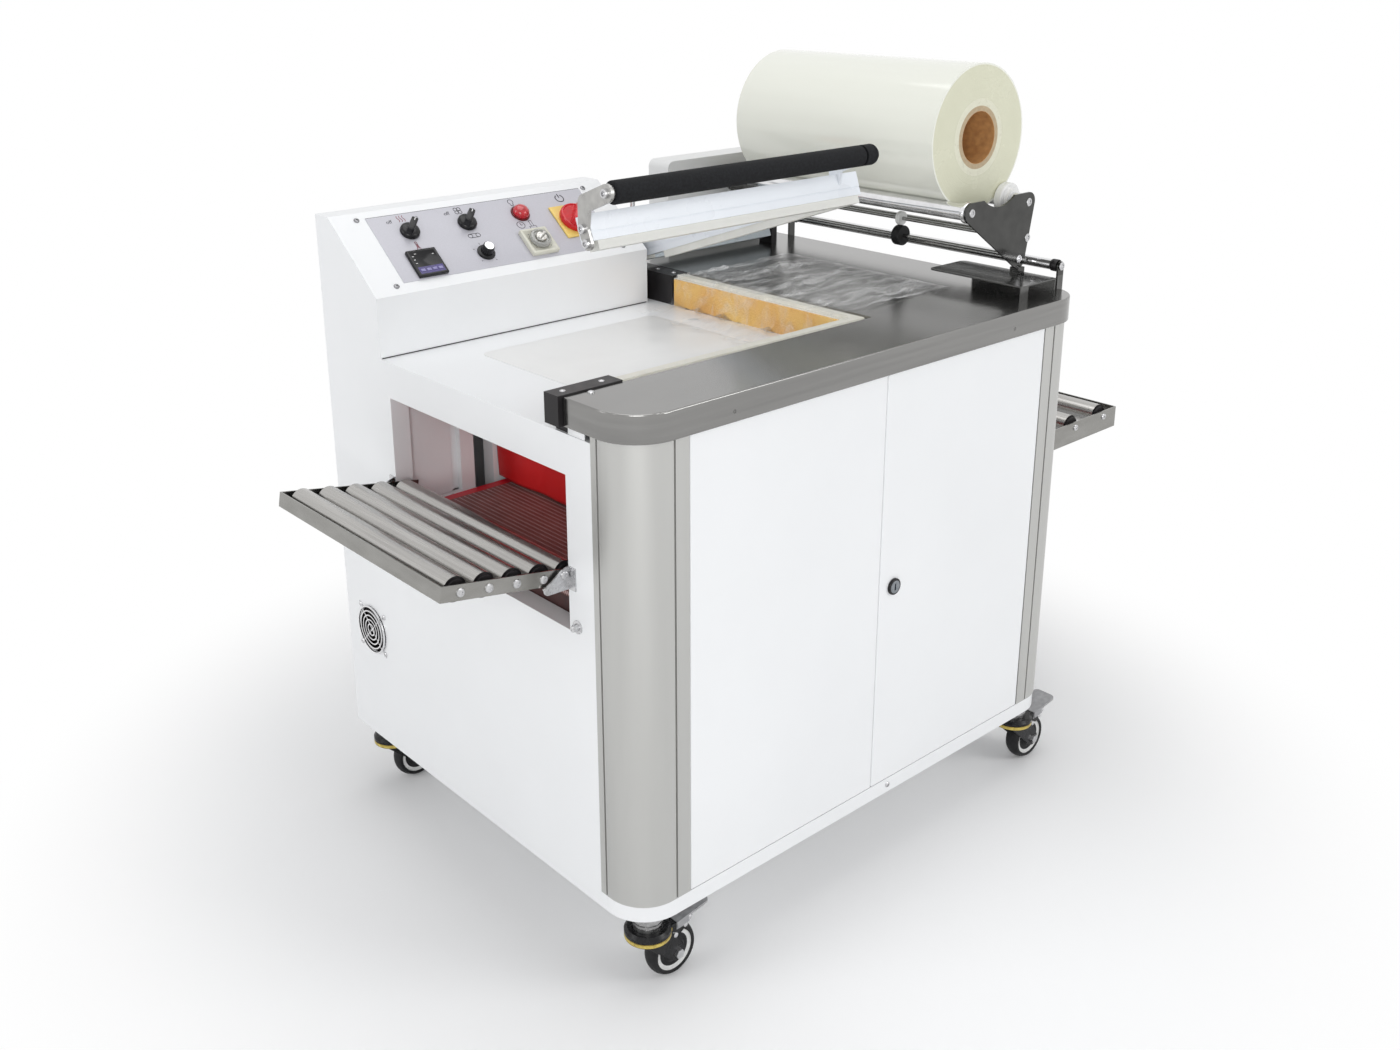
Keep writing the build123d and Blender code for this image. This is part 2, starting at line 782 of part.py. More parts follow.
def main_switch():
    """Red rotary handle of the main switch."""
    handle = Pos(0, 0, 5) * Cylinder(27, 10)
    handle += Pos(0, 0, 17) * Box(14, 50, 14)
    handle += Pos(0, 0, -spindle_length / 2) * Cylinder(spindle_radius, spindle_length)
    return on_panel(*main_place, handle, overlay_thickness + 3 + knob_lift)


def rear_cover():
    """Upright sheet cover at the back, open underneath, rounded at its top corners."""
    height = cover_top - table_height
    middle = (cover_left + cover_right) / 2
    outline = Pos(middle, table_height + height / 2) * Rectangle(cover_right - cover_left, height)
    outline = fillet(outline.vertices().sort_by(Axis.Y)[-2:], cover_corner)
    inner_width = cover_right - cover_left - 2 * cover_sheet
    inner_height = height - cover_sheet
    inner = Pos(middle, table_height + inner_height / 2) * Rectangle(inner_width, inner_height)
    inner = fillet(inner.vertices().sort_by(Axis.Y)[-2:], cover_corner - cover_sheet)
    body = plate_xz(outline, cover_front, half_depth)
    return body - plate_xz(inner, cover_front + cover_sheet, half_depth - cover_sheet)


def door(right):
    """Folded door pan, drawn for the left side and mirrored for the right."""
    left_edge = -half_length + column_front + door_gap
    right_edge = -door_gap / 2
    low = base_height + door_gap
    high = column_top - door_gap
    front = -half_depth
    back = front + door_depth
    pan = block(left_edge, right_edge, front, back, low, high)
    upright = pan.edges().filter_by(Axis.Z).sort_by(Axis.Y)[:2]
    solid = fillet(upright, door_edge_radius)
    pan = solid - block(left_edge + door_sheet, right_edge - door_sheet, front + door_sheet,
                        back - door_sheet, low + door_sheet, high - door_sheet)
    pan -= block(left_edge + door_lip, right_edge - door_lip, back - door_sheet, back,
                 low + door_lip, high - door_lip)
    x = left_edge + hinge_inset
    y = front + hinge_inset
    bore = hinge_pin_radius + running_gap
    for z0 in (low, high - hinge_pin_reach):
        z1 = z0 + hinge_pin_reach
        pan += solid & block(left_edge, left_edge + hinge_block, front, front + hinge_block, z0, z1)
        pan -= rod_along_z(x, y, bore, z0, z1)
    if right:
        pan = mirror_x(pan)
        pan -= rod_along_y(lock_offset, lock_height, lock_radius + running_gap, front, back)
    return pan


door_axis_x = half_length - column_front - door_gap - hinge_inset
door_axis_y = -half_depth + hinge_inset


def door_lock():
    """Quarter-turn lock: rim, barrel and the cam behind the door, turned clear of the other door."""
    front = -half_depth
    back = front + door_depth
    barrel = rod_along_y(lock_offset, lock_height, lock_radius, front, back + 1)
    rim = rod_along_y(lock_offset, lock_height, lock_rim_radius, front - lock_rim_height, front - seat_gap)
    rim = fillet(rim.edges().filter_by(GeomType.CIRCLE).sort_by(Axis.Y)[:1], 1.5)
    neck = rod_along_y(lock_offset, lock_height, lock_radius, front - seat_gap, front)
    key = block(lock_offset - 1.5, lock_offset + 1.5, front - lock_rim_height, front - 2,
                lock_height - 5, lock_height + 5)
    cam = Pos(lock_offset, lock_height + cam_length / 2 - cam_width / 2) * Rectangle(cam_width, cam_length)
    return barrel + neck + rim - key + plate_xz(cam, back + 1, back + 1 + cam_thickness)


def door_pins():
    """Hinge pins: the lower ones stand in the base rim, the upper ones hang from lugs on the beam."""
    pins = []
    low = base_height + door_gap
    high = column_top - door_gap
    for side in (-1, 1):
        x = side * door_axis_x
        lower = rod_along_z(x, door_axis_y, hinge_pin_radius, base_height, low + hinge_pin_reach - 2)
        lower += rod_along_z(x, door_axis_y, hinge_pin_radius + 1.5, base_height, low - 0.4)
        lug_low = high + 0.4
        upper = rod_along_z(x, door_axis_y, hinge_pin_radius, high - hinge_pin_reach + 2, lug_low)
        upper += block(x - 3.4, x + 3.4, door_axis_y - 4, beam_front, lug_low, lug_low + 3)
        pins += [lower, upper]
    return pins


def tunnel_hood():
    """Insulated hood over the belt, open at both ends, with the air inlet in its rear side."""
    half = hood_length / 2
    low = bearer_bottom + bearer_height
    hood = block(-half, half, tunnel_front - hood_wall, tunnel_back + hood_wall, low, tunnel_top + hood_wall)
    hood -= block(-half, half, tunnel_front, tunnel_back, low, tunnel_top)
    cavity = block(-half + hood_skin, half - hood_skin, tunnel_front - hood_wall + hood_skin,
                   tunnel_back + hood_wall - hood_skin, low + hood_skin, tunnel_top + hood_wall - hood_skin)
    cavity -= block(-half, half, tunnel_front - hood_skin, tunnel_back + hood_skin, low,
                    tunnel_top + hood_skin)
    cavity -= rod_along_y(blower_x, blower_z, blower_inlet_radius + inlet_collar, tunnel_back,
                          tunnel_back + hood_wall)
    hood -= cavity
    hood -= rod_along_y(blower_x, blower_z, blower_inlet_radius, tunnel_back, tunnel_back + hood_wall)
    heaters = []
    end = half - heater_end_room
    for y in (tunnel_front + heater_side_room, tunnel_centre, tunnel_back - heater_side_room):
        z = tunnel_top - heater_drop
        bar = rod_along_x(y, z, heater_radius, -end, end)
        for x in (-end * 0.86, end * 0.86):
            bar += block(x - 3, x + 3, y - 4, y + 4, z, tunnel_top)
        heaters.append(bar)
    covers = [side_cover(side, end) for side in (-1, 1) for end in (-1, 1)]
    return [hood] + heaters + covers


def side_cover(side, end):
    """White sheet cover and post beside the belt, on a sill that lies on the conveyor's rail."""
    face = tunnel_front - side_cover_offset if side < 0 else tunnel_back + side_cover_offset
    inward = -side
    rail = rail_front - rail_thickness if side < 0 else rail_back
    low = belt_height - rail_drop
    high = tunnel_top + side_cover_lap
    outer = half_length - side_cover_outer
    inner = half_length - side_cover_inner
    ys = sorted((face, face + side * side_cover_thickness))
    cover = block(inner, outer, *ys, low, high)
    depth = side_post_depth - side_cover_thickness
    ys = sorted((face + side * side_cover_thickness, face + inward * depth))
    cover += block(half_length - side_post_inner, half_length - side_post_outer, *ys, low, high)
    ys = sorted((face + side * side_cover_thickness, rail))
    cover += block(half_length - side_post_inner, outer, *ys, low, low + side_cover_thickness)
    return cover if end > 0 else mirror_x(cover)


def curtains():
    """A red silicone curtain inside each end of the hood, hung from its roof."""
    low = belt_height + curtain_lift
    outer = hood_length / 2 - curtain_inset
    sheet = block(-outer, -outer + curtain_thickness, tunnel_front + curtain_inset,
                  tunnel_back - curtain_inset, low, tunnel_top)
    return [sheet, mirror_x(sheet)]


belt_front = tunnel_centre - belt_width / 2
belt_back = tunnel_centre + belt_width / 2
rail_front = belt_front - rail_gap
rail_back = belt_back + rail_gap
drum_z = belt_height - belt_thickness - seat_gap - drum_radius
rail_length = drum_spacing + 2 * rail_end_margin


def conveyor_belt():
    """Endless mesh belt round the two drums."""
    inner = drum_radius + seat_gap
    outer = inner + belt_thickness
    ring = Pos(0, drum_z) * SlotCenterToCenter(drum_spacing, 2 * outer)
    ring -= Pos(0, drum_z) * SlotCenterToCenter(drum_spacing, 2 * inner)
    return plate_xz(ring, belt_front, belt_back)


def conveyor_frame():
    """Bearers from wall to wall, side rails with the shaft bores, the deck and the gear motor."""
    inner = half_length - cabinet_sheet
    high = bearer_bottom + bearer_height
    front_outer = rail_front - rail_thickness
    back_outer = rail_back + rail_thickness
    bearers = block(-inner, inner, front_outer - bearer_width, front_outer, bearer_bottom, high)
    bearers += block(-inner, inner, back_outer, back_outer + bearer_width, bearer_bottom, high)
    for y in (front_outer - bearer_width, back_outer):
        bearers -= block(-inner, inner, y + bearer_wall, y + bearer_width - bearer_wall,
                         bearer_bottom + bearer_wall, high - bearer_wall)
    rail_top = belt_height - rail_drop
    half = rail_length / 2
    rails = block(-half, half, front_outer, rail_front, high - rail_lap, rail_top)
    rails += block(-half, half, rail_back, back_outer, high - rail_lap, rail_top)
    deck_top = belt_height - belt_thickness - seat_gap
    deck_half = drum_spacing / 2 - drum_radius
    deck = block(-deck_half, deck_half, rail_front, rail_back, deck_top - deck_side, deck_top)
    deck -= block(-deck_half, deck_half, rail_front + deck_thickness, rail_back - deck_thickness,
                  deck_top - deck_side, deck_top - deck_thickness)
    frame = bearers + rails + deck
    bore = drum_shaft_radius + running_gap
    for side in (-1, 1):
        frame -= rod_along_y(side * drum_spacing / 2, drum_z, bore, front_outer, back_outer)
    x = drum_spacing / 2
    half_box = gearbox_size / 2
    motor = block(x - half_box, x + half_box, back_outer, back_outer + gear_motor_length * 0.4,
                  drum_z - half_box, drum_z + half_box)
    motor = fillet(motor.edges().filter_by(Axis.Y), 8)
    motor += rod_along_y(x, drum_z, half_box - 4, back_outer + gear_motor_length * 0.4,
                         back_outer + gear_motor_length)
    motor -= rod_along_y(x, drum_z, bore, back_outer, back_outer + shaft_entry + 1)
    return [frame, motor]


def drum(side):
    """Steel drum with a stepped shaft. The drive end runs on into the gearbox."""
    x = side * drum_spacing / 2
    body = rod_along_y(x, drum_z, drum_radius, belt_front - 1, belt_back + 1)
    reach = shaft_entry if side > 0 else 0
    body += rod_along_y(x, drum_z, drum_shaft_radius, rail_front - rail_thickness,
                        rail_back + rail_thickness + reach)
    return body


def blower_unit():
    """Scroll casing bolted to the hood's rear side, with its motor behind."""
    face = tunnel_back + hood_wall
    back = face + scroll_depth
    casing = Circle(scroll_radius)
    tall = scroll_radius + scroll_mouth
    casing += Pos(-scroll_radius / 2, -scroll_radius / 2) * Rectangle(scroll_radius, tall)
    inner = Circle(scroll_radius - scroll_wall)
    inner += Pos(-scroll_radius / 2, -scroll_radius / 2) * Rectangle(
        scroll_radius - 2 * scroll_wall, tall - 2 * scroll_wall)
    body = plate_xz(Pos(blower_x, blower_z) * casing, face, back)
    body -= plate_xz(Pos(blower_x, blower_z) * inner, face + scroll_wall, back - scroll_wall)
    body -= rod_along_y(blower_x, blower_z, blower_inlet_radius, face, face + scroll_wall)
    body += rod_along_y(blower_x, blower_z, motor_radius, back, back + motor_length)
    body += rod_along_y(blower_x, blower_z, motor_shaft_radius, face + 14, back)
    return body


def impeller():
    """Forward-curved fan wheel on the motor shaft."""
    face = tunnel_back + hood_wall
    back = face + scroll_depth - scroll_wall - 3
    front = face + scroll_wall + 6
    wheel = rod_along_y(blower_x, blower_z, impeller_radius, back - 2, back)
    wheel += rod_along_y(blower_x, blower_z, motor_shaft_radius + 6, front + 10, back)
    for index in range(impeller_blades):
        angle = 360 / impeller_blades * index
        blade = Rot(0, 25, 0) * Box(16, back - 2 - front, 1.6)
        blade = Pos(impeller_radius - 9, (front + back - 2) / 2, 0) * blade
        wheel += Pos(blower_x, 0, blower_z) * Rot(0, angle, 0) * blade
    return wheel - rod_along_y(blower_x, blower_z, motor_shaft_radius + running_gap, front, back)


def fan_housing():
    """Square fan frame behind the wall, with a wire guard outside."""
    inner = -half_length + cabinet_sheet
    half = fan_size / 2
    frame = block(inner, inner + fan_depth, fan_y - half, fan_y + half, fan_z - half, fan_z + half)
    frame = fillet(frame.edges().filter_by(Axis.X), 4)
    frame -= rod_along_x(fan_y, fan_z, fan_bore, inner, inner + fan_depth)
    back = inner + fan_depth
    frame += rod_along_x(fan_y, fan_z, fan_hub, back - 3, back)
    for angle in (90, 210, 330):
        strut = Pos(back - 1.5, 0, (fan_hub + fan_bore) / 2) * Box(3, 4, fan_bore - fan_hub + 2)
        frame += Pos(0, fan_y, fan_z) * Rot(angle, 0, 0) * strut
    frame += rod_along_x(fan_y, fan_z, 2, inner + 6, back - 3)
    outer = -half_length
    guard = None
    for index in range(guard_rings):
        radius = fan_bore + 1 - index * 7
        ring = rod_along_x(fan_y, fan_z, radius, outer - 2 * guard_wire, outer - guard_wire)
        ring -= rod_along_x(fan_y, fan_z, radius - guard_wire, outer - 2 * guard_wire, outer - guard_wire)
        guard = ring if guard is None else guard + ring
    for angle in (45, 135):
        spoke = Pos(outer - guard_wire / 2, 0, 0) * Box(guard_wire, guard_wire, 2 * fan_size * 0.63)
        guard += Pos(0, fan_y, fan_z) * Rot(angle, 0, 0) * spoke
    return [frame, guard]


def fan_rotor():
    """Fan hub with pitched blades."""
    inner = -half_length + cabinet_sheet
    front = inner + 2
    back = inner + fan_depth - 4
    rotor = rod_along_x(fan_y, fan_z, fan_hub, front, back)
    length = fan_bore - fan_hub
    for index in range(fan_blades):
        blade = Pos(0, 0, fan_hub + length / 2 - 2) * Rot(0, 0, 40) * Box(1.6, 16, length)
        rotor += Pos((front + back) / 2, fan_y, fan_z) * Rot(360 / fan_blades * index, 0, 0) * blade
    rotor -= rod_along_x(fan_y, fan_z, 2 + running_gap, front, back)
    return rotor


def caster_places():
    """Swivel centres of the four casters, from the front left, anticlockwise."""
    x = half_length - caster_side_inset
    y = half_depth - caster_end_inset
    return [(-x, -y), (x, -y), (x, y), (-x, y)]


stem_bottom = -caster_plate_thickness - stem_height
crown_top = stem_bottom - seat_gap
crown_bottom = crown_top - crown_thickness
wheel_z = wheel_bottom + wheel_radius


def caster_mounts():
    """Top plate, grooved stem nut and king pin of each caster."""
    mounts = []
    for x, y in caster_places():
        mount = rod_along_z(x, y, caster_plate_radius, -caster_plate_thickness, 0)
        mount += rod_along_z(x, y, stem_radius, stem_bottom, -caster_plate_thickness)
        for index in range(stem_grooves):
            z = stem_bottom + stem_height * (index + 1) / (stem_grooves + 1)
            outer = rod_along_z(x, y, stem_radius, z - 1, z + 1)
            mount -= outer - rod_along_z(x, y, stem_radius - 2, z - 1, z + 1)
        mount += rod_along_z(x, y, kingpin_radius, crown_bottom, stem_bottom)
        mounts.append(mount)
    return mounts


def caster_fork(place):
    """Pressed fork under its ball race, with the axle bolt, the brake levers and the pedal."""
    x, y = place
    crown = rod_along_z(x, y, crown_radius, crown_bottom, crown_top)
    crown = chamfer(crown.edges().filter_by(GeomType.CIRCLE).sort_by(Axis.Z)[-1:], 4)
    waist = crown_bottom + crown_ring
    ring = rod_along_z(x, y, crown_radius, waist - 1, waist)
    crown -= ring - rod_along_z(x, y, crown_radius - 1, waist - 1, waist)
    crown -= rod_along_z(x, y, kingpin_radius + running_gap, crown_bottom, crown_top)
    inner = wheel_width / 2 + fork_side_gap
    axle_x = x + wheel_trail
    hub = Pos(axle_x, wheel_z) * Circle(12)
    root = Pos(x, crown_bottom + 2) * Rectangle(2 * (crown_radius - 8), 4)
    leg = make_hull(hub.edges() + root.edges())
    lever = make_hull((Pos(x + 24, crown_bottom + 4) * Circle(4)).edges()
                      + (Pos(x + 58, crown_top - 6) * Circle(4)).edges()
                      + (Pos(x + 42, crown_bottom - 6) * Circle(4)).edges())
    for low in (y - inner - fork_plate, y + inner):
        crown += plate_xz(leg + lever, low, low + fork_plate)
    axle = rod_along_y(axle_x, wheel_z, axle_radius, y - inner, y + inner)
    reach = inner + fork_plate
    for side in (-1, 1):
        ends = sorted((y + side * reach, y + side * (reach + 5)))
        axle += Pos(axle_x, sum(ends) / 2, wheel_z) * Rot(90, 0, 0) * extrude(
            RegularPolygon(7, 6), 2.5, both=True)
    half = pedal_width / 2
    start = x + crown_radius + 4
    pedal = block(start, x + pedal_length, y - half, y + half, 0, pedal_thickness)
    pedal = fillet(pedal.edges().filter_by(Axis.Z).sort_by(Axis.X)[-2:], 8)
    pedal += block(start, start + 20, y - half, y + half, -8, pedal_thickness)
    pedal = Pos(start, 0, crown_top - 7) * Rot(0, -8, 0) * Pos(-start, 0, 0) * pedal
    neck = block(x + 20, start + 10, y - inner, y + inner, crown_top - 12, crown_top - 5)
    return crown + axle + pedal + neck


def caster_wheel(place):
    """Wheel with a rounded tread, a recessed hub and a bore for the axle."""
    x, y = place
    half = wheel_width / 2
    bore = axle_radius + running_gap
    points = [(bore, -half), (14, -half), (18, -half + 4), (28, -half + 4), (30, -half + 1),
              (wheel_radius - 4, -half + 1)]
    with BuildSketch() as section:
        with BuildLine():
            Polyline(*points)
            ThreePointArc((wheel_radius - 4, -half + 1), (wheel_radius, 0), (wheel_radius - 4, half - 1))
            Polyline(*[(a, -b) for a, b in reversed(points)])
            Line((bore, half), (bore, -half))
        make_face()
    wheel = revolve(section.sketch, Axis.Y)
    return Pos(x + wheel_trail, y, wheel_z) * wheel


exit_sizes = dict(length=exit_tray_length, angle=exit_tray_angle, first=exit_first_roller,
                  pitch=exit_roller_pitch, count=exit_roller_count, radius=exit_roller_radius,
                  pivot=exit_pivot_height, rail=exit_rail_height, inner=exit_rail_inner)
infeed_sizes = dict(length=infeed_tray_length, angle=infeed_tray_angle, first=infeed_first_roller,
                    pitch=infeed_roller_pitch, count=infeed_roller_count, radius=infeed_roller_radius,
                    pivot=infeed_pivot_height, rail=infeed_rail_height, inner=infeed_rail_inner)


def tray_place(size):
    """From a tray's own frame, drawn outwards along +X from its pivot, to its place at the right end."""
    return Pos(half_length + tray_pivot_offset, 0, size["pivot"]) * Rot(0, -size["angle"], 0)


def tray_frame(size, side):
    """Folded rails with an end plate and a tie bar, the fixed axles, and the rollers on them."""
    front = tunnel_front + tray_gap
    back = tunnel_back - tray_gap
    low = tray_pivot_drop - size["rail"]
    high = tray_pivot_drop
    length = size["length"]
    inner = size["inner"]
    rails = block(inner, length, front, front + tray_rail, low, high)
    rails += block(inner, length, back - tray_rail, back, low, high)
    rails += block(length - tray_rail, length, front, back, low, high)
    tie = tray_tie_radius + 1
    rails += rod_along_y(inner + tie, low + tie, tray_tie_radius, front, back)
    bore = tray_pin_radius + running_gap
    rails -= rod_along_y(0, 0, bore, front, front + tray_rail)
    rails -= rod_along_y(0, 0, bore, back - tray_rail, back)
    z = high - tray_axle_drop
    solids = [rails]
    rollers = []
    for index in range(size["count"]):
        x = size["first"] + index * size["pitch"]
        solids.append(rod_along_y(x, z, tray_axle_radius, front + tray_rail, back - tray_rail))
        roller_front = front + tray_rail + roller_end_gap
        roller_back = back - tray_rail - roller_end_gap
        roller = rod_along_y(x, z, size["radius"], roller_front + roller_cap, roller_back - roller_cap)
        roller += rod_along_y(x, z, size["radius"] - roller_cap_step, roller_front, roller_back)
        roller -= rod_along_y(x, z, tray_axle_radius + roller_bore_gap, roller_front, roller_back)
        rollers.append(roller)
    place = tray_place(size)
    solids = [place * solid for solid in solids]
    rollers = [place * roller for roller in rollers]
    if side < 0:
        solids = [mirror_x(solid) for solid in solids]
        rollers = [mirror_x(roller) for roller in rollers]
    return solids, rollers


def tray_ears(size, side):
    """Angle brackets on the end wall that carry a tray's pivot pins and its stop pins."""
    ears = []
    pivot_x = half_length + tray_pivot_offset
    pivot_z = size["pivot"]
    under = tray_pivot_drop - size["rail"] - stop_pin_radius - seat_gap
    stop = tray_place(size) * Pos(stop_pin_place, 0, under)
    stop_x = stop.position.X
    stop_z = stop.position.Z
    root_low = min(stop_z, pivot_z - 20)
    outline = make_hull((Pos(pivot_x, pivot_z) * Circle(tray_pin_radius + 5)).edges()
                        + (Pos(stop_x, stop_z) * Circle(stop_pin_radius + 3)).edges()
                        + (Pos(half_length + ear_thickness, (pivot_z + 10 + root_low) / 2) * Rectangle(
                            2 * ear_thickness, pivot_z + 10 - root_low)).edges())
    outline -= Pos(half_length / 2, pivot_z) * Rectangle(half_length, half_length)
    front = tunnel_front - 1
    back = tunnel_back + 1
    for face, direction in ((front, -1), (back, 1)):
        outer = face + direction * ear_thickness
        ear = plate_xz(outline, min(face, outer), max(face, outer))
        foot = face + direction * ear_foot
        ear += block(half_length, half_length + ear_thickness, min(face, foot), max(face, foot),
                     root_low, pivot_z + 10)
        tip = face - direction * (1 + tray_gap + tray_rail)
        ear += rod_along_y(pivot_x, pivot_z, tray_pin_radius, min(face, tip), max(face, tip))
        ear += rod_along_y(stop_x, stop_z, stop_pin_radius, min(face, tip), max(face, tip))
        ears.append(mirror_x(ear) if side < 0 else ear)
    return ears


spread = cradle_spread / 2
roll_x = (cradle_left_x + cradle_right_x) / 2
roll_reach = roll_radius + cradle_roller_radius + seat_gap
roll_z = cradle_z + sqrt(roll_reach ** 2 - spread ** 2)


def film_roll():
    """Wound film on its board core."""
    film = rod_along_y(roll_x, roll_z, roll_radius, roll_front, roll_back)
    film -= rod_along_y(roll_x, roll_z, core_radius, roll_front, roll_back)
    core = rod_along_y(roll_x, roll_z, core_radius, roll_front, roll_back)
    core -= rod_along_y(roll_x, roll_z, core_bore, roll_front, roll_back)
    return [film, core]


def cradle_roller(x):
    """Chromed roller with a thinner journal at each end."""
    body = rod_along_y(x, cradle_z, cradle_roller_radius, cradle_front + cradle_plate + 1,
                       cradle_back - cradle_plate - 1)
    body += rod_along_y(x, cradle_z, cradle_journal_radius, cradle_front, cradle_back)
    return body


def end_discs():
    """Nylon discs on the right roller that keep the film roll from wandering."""
    discs = []
    bore = cradle_roller_radius
    for face, direction in ((roll_front - disc_gap, -1), (roll_back + disc_gap, 1)):
        far = face + direction * disc_width
        hub = far + direction * 6
        disc = rod_along_y(cradle_right_x, cradle_z, disc_radius, min(face, far), max(face, far))
        disc = fillet(disc.edges().filter_by(GeomType.CIRCLE), 3)
        disc += rod_along_y(cradle_right_x, cradle_z, bore + 5, min(far, hub), max(far, hub))
        disc -= rod_along_y(cradle_right_x, cradle_z, bore, min(face, hub), max(face, hub))
        discs.append(disc)
    return discs


def cradle_side(y0, y1):
    """Three-lobed side plate, hollowed along its top."""
    lobes = (Pos(cradle_left_x, cradle_z) * Circle(lobe_radius)).edges()
    lobes += (Pos(cradle_right_x, cradle_z) * Circle(lobe_radius)).edges()
    lobes += (Pos(tip_x, tip_z) * Circle(lobe_radius)).edges()
    outline = make_hull(lobes)
    dip = (cradle_left_x + cradle_right_x) / 2 - 4
    outline -= Pos(dip, cradle_z + lobe_dip_radius + 2) * Circle(lobe_dip_radius)
    bore = cradle_journal_radius + running_gap
    outline -= Pos(cradle_left_x, cradle_z) * Circle(bore)
    outline -= Pos(cradle_right_x, cradle_z) * Circle(bore)
    return plate_xz(outline, y0, y1)


def roller_post(y0, y1):
    """Small upright that carries one end of the lower roller."""
    outline = Pos(lower_roller_x, (worktop_height + lower_roller_z) / 2) * Rectangle(
        post_width, lower_roller_z - worktop_height)
    outline += Pos(lower_roller_x, lower_roller_z) * Circle(post_width / 2)
    outline -= Pos(lower_roller_x, lower_roller_z) * Circle(lower_journal_radius + running_gap)
    return plate_xz(outline, y0, y1)


def film_cradle():
    """Side plates, tie bars, the separator tray under the film and the lower roller's posts."""
    front_plate = cradle_side(cradle_front, cradle_front + cradle_plate)
    back_plate = cradle_side(cradle_back - cradle_plate, cradle_back)
    inner_front = cradle_front + cradle_plate
    inner_back = cradle_back - cradle_plate
    ties = rod_along_y(tie_x, tie_z, tie_radius, inner_front, inner_back)
    ties += rod_along_y(tip_x, tip_z, tie_radius, inner_front, inner_back)
    ties += rod_along_y(rod_x_place, rod_z_place, rod_radius, inner_front, inner_back)
    needle_z = rod_z_place + rubber_radius + needle_radius + seat_gap
    ties += rod_along_y(rod_x_place, needle_z, rod_radius, inner_front, inner_back)
    foot = block(tip_x - 8, tip_x + 8, cradle_back - cradle_plate, cradle_back, worktop_height,
                 tip_z - lobe_radius + 3)
    foot += block(tip_x - 8, tip_x + 8, cradle_back - cradle_plate, cradle_back + 18, worktop_height,
                  worktop_height + 2)
    saddle = block(tip_x - 8, tip_x + 8, cradle_front - 6, cradle_front + cradle_plate + 6, tray_height,
                   tip_z - lobe_radius + 3)
    under = tray_height - tray_sheet
    tray = block(tray_left, tray_right, tray_front, tray_back, under, tray_height)
    upright = tray.edges().filter_by(Axis.Z).sort_by(Axis.Y)[-2:]
    tray = fillet(upright, tray_corner)
    tray += block(tray_left, tray_left + 18, tray_front, tray_front + tray_sheet, worktop_height, under)
    tray += block(tray_right - tray_sheet, tray_right, tray_front, tray_back - 20, worktop_height, under)
    frame = front_plate + back_plate + ties + foot + saddle + tray
    posts = [roller_post(y, y + post_thickness) for y in (post_front, post_back)]
    return [frame] + posts


def lower_roller():
    """Chromed guide roller low at the right edge of the film table."""
    body = rod_along_y(lower_roller_x, lower_roller_z, lower_roller_radius,
                       post_front + post_thickness + 1, post_back - 1)
    body += rod_along_y(lower_roller_x, lower_roller_z, lower_journal_radius, post_front,
                        post_back + post_thickness)
    return body


def small_wheel(z, radius, width, bore):
    """A wheel that turns on one of the cradle's thin rods."""
    low = wheel_place - width / 2
    high = wheel_place + width / 2
    wheel = rod_along_y(rod_x_place, z, radius, low, high)
    wheel = fillet(wheel.edges().filter_by(GeomType.CIRCLE), 1.5)
    return wheel - rod_along_y(rod_x_place, z, bore + running_gap, low, high)


def loose_film():
    """Film laid over the film table and the cross bar, and the smooth mat on the white table."""
    top = worktop_height + seat_gap
    film_right = half_length - film_right_room
    film_front = front_bar_back + film_front_room
    film_back = cross_bar_back - film_back_room
    film = block(cross_bar_left - side_pad_thickness - 2, film_right, film_front, film_back,
                 top, top + film_thickness)
    drop = cross_bar_left - side_pad_thickness - 1
    low = table_height + seat_gap + mat_thickness
    film += block(drop - film_thickness, drop, film_front, film_back, low, top + film_thickness)
    film += block(drop - film_reach, drop, film_front, film_back, low, low + film_thickness)
    mat = block(front_bar_left + mat_left_room, box_right - mat_right_room, front_bar_back + mat_front_room,
                box_front - mat_back_room, table_height, table_height + mat_thickness)
    mat = fillet(mat.edges().filter_by(Axis.Z), mat_corner)
    return [film, mat]


os.makedirs("parts", exist_ok=True)

write("base_plate", base_plate())
write("corner_columns", corner_column(), mirror_x(corner_column()))
write("cabinet_shell", cabinet_shell())
write("worktop", worktop())
write("lower_seal_bars", *lower_seal_bars())
write("seal_end_blocks", *seal_end_blocks())
write("seal_arm", seal_arm())
write("arm_handle", *arm_handle())
write("arm_bearings", *arm_bearings())
write("control_box", control_box())
write("panel_fittings", *panel_fittings())
for switch_name, switch_place in selector_places.items():
    write(switch_name, selector(switch_place))
write("speed_knob", speed_knob())
write("timer_dial", timer_dial())
write("main_switch", main_switch())
write("rear_cover", rear_cover())
write("door_left", door(False))
write("door_right", door(True))
write("door_lock", door_lock())
write("tunnel_hood", *tunnel_hood())
write("curtains", *curtains())
write("conveyor_belt", conveyor_belt())
write("conveyor_frame", *conveyor_frame())
write("drive_drum", drum(1))
write("idler_drum", drum(-1))
write("blower_unit", blower_unit())
write("impeller", impeller())
write("fan_housing", *fan_housing())
write("fan_rotor", fan_rotor())
write("caster_mounts", *caster_mounts())
for number, caster_place in enumerate(caster_places(), start=1):
    write(f"caster_fork_{number}", caster_fork(caster_place))
    write(f"caster_wheel_{number}", caster_wheel(caster_place))

exit_frame, exit_rollers = tray_frame(exit_sizes, -1)
infeed_frame, infeed_rollers = tray_frame(infeed_sizes, 1)
write("exit_tray", *exit_frame)
write("infeed_tray", *infeed_frame)
for number, tray_roller in enumerate(exit_rollers, start=1):
    write(f"exit_roller_{number}", tray_roller)
for number, tray_roller in enumerate(infeed_rollers, start=1):
    write(f"infeed_roller_{number}", tray_roller)
write("hinge_hardware", *door_pins(), *tray_ears(exit_sizes, -1), *tray_ears(infeed_sizes, 1))

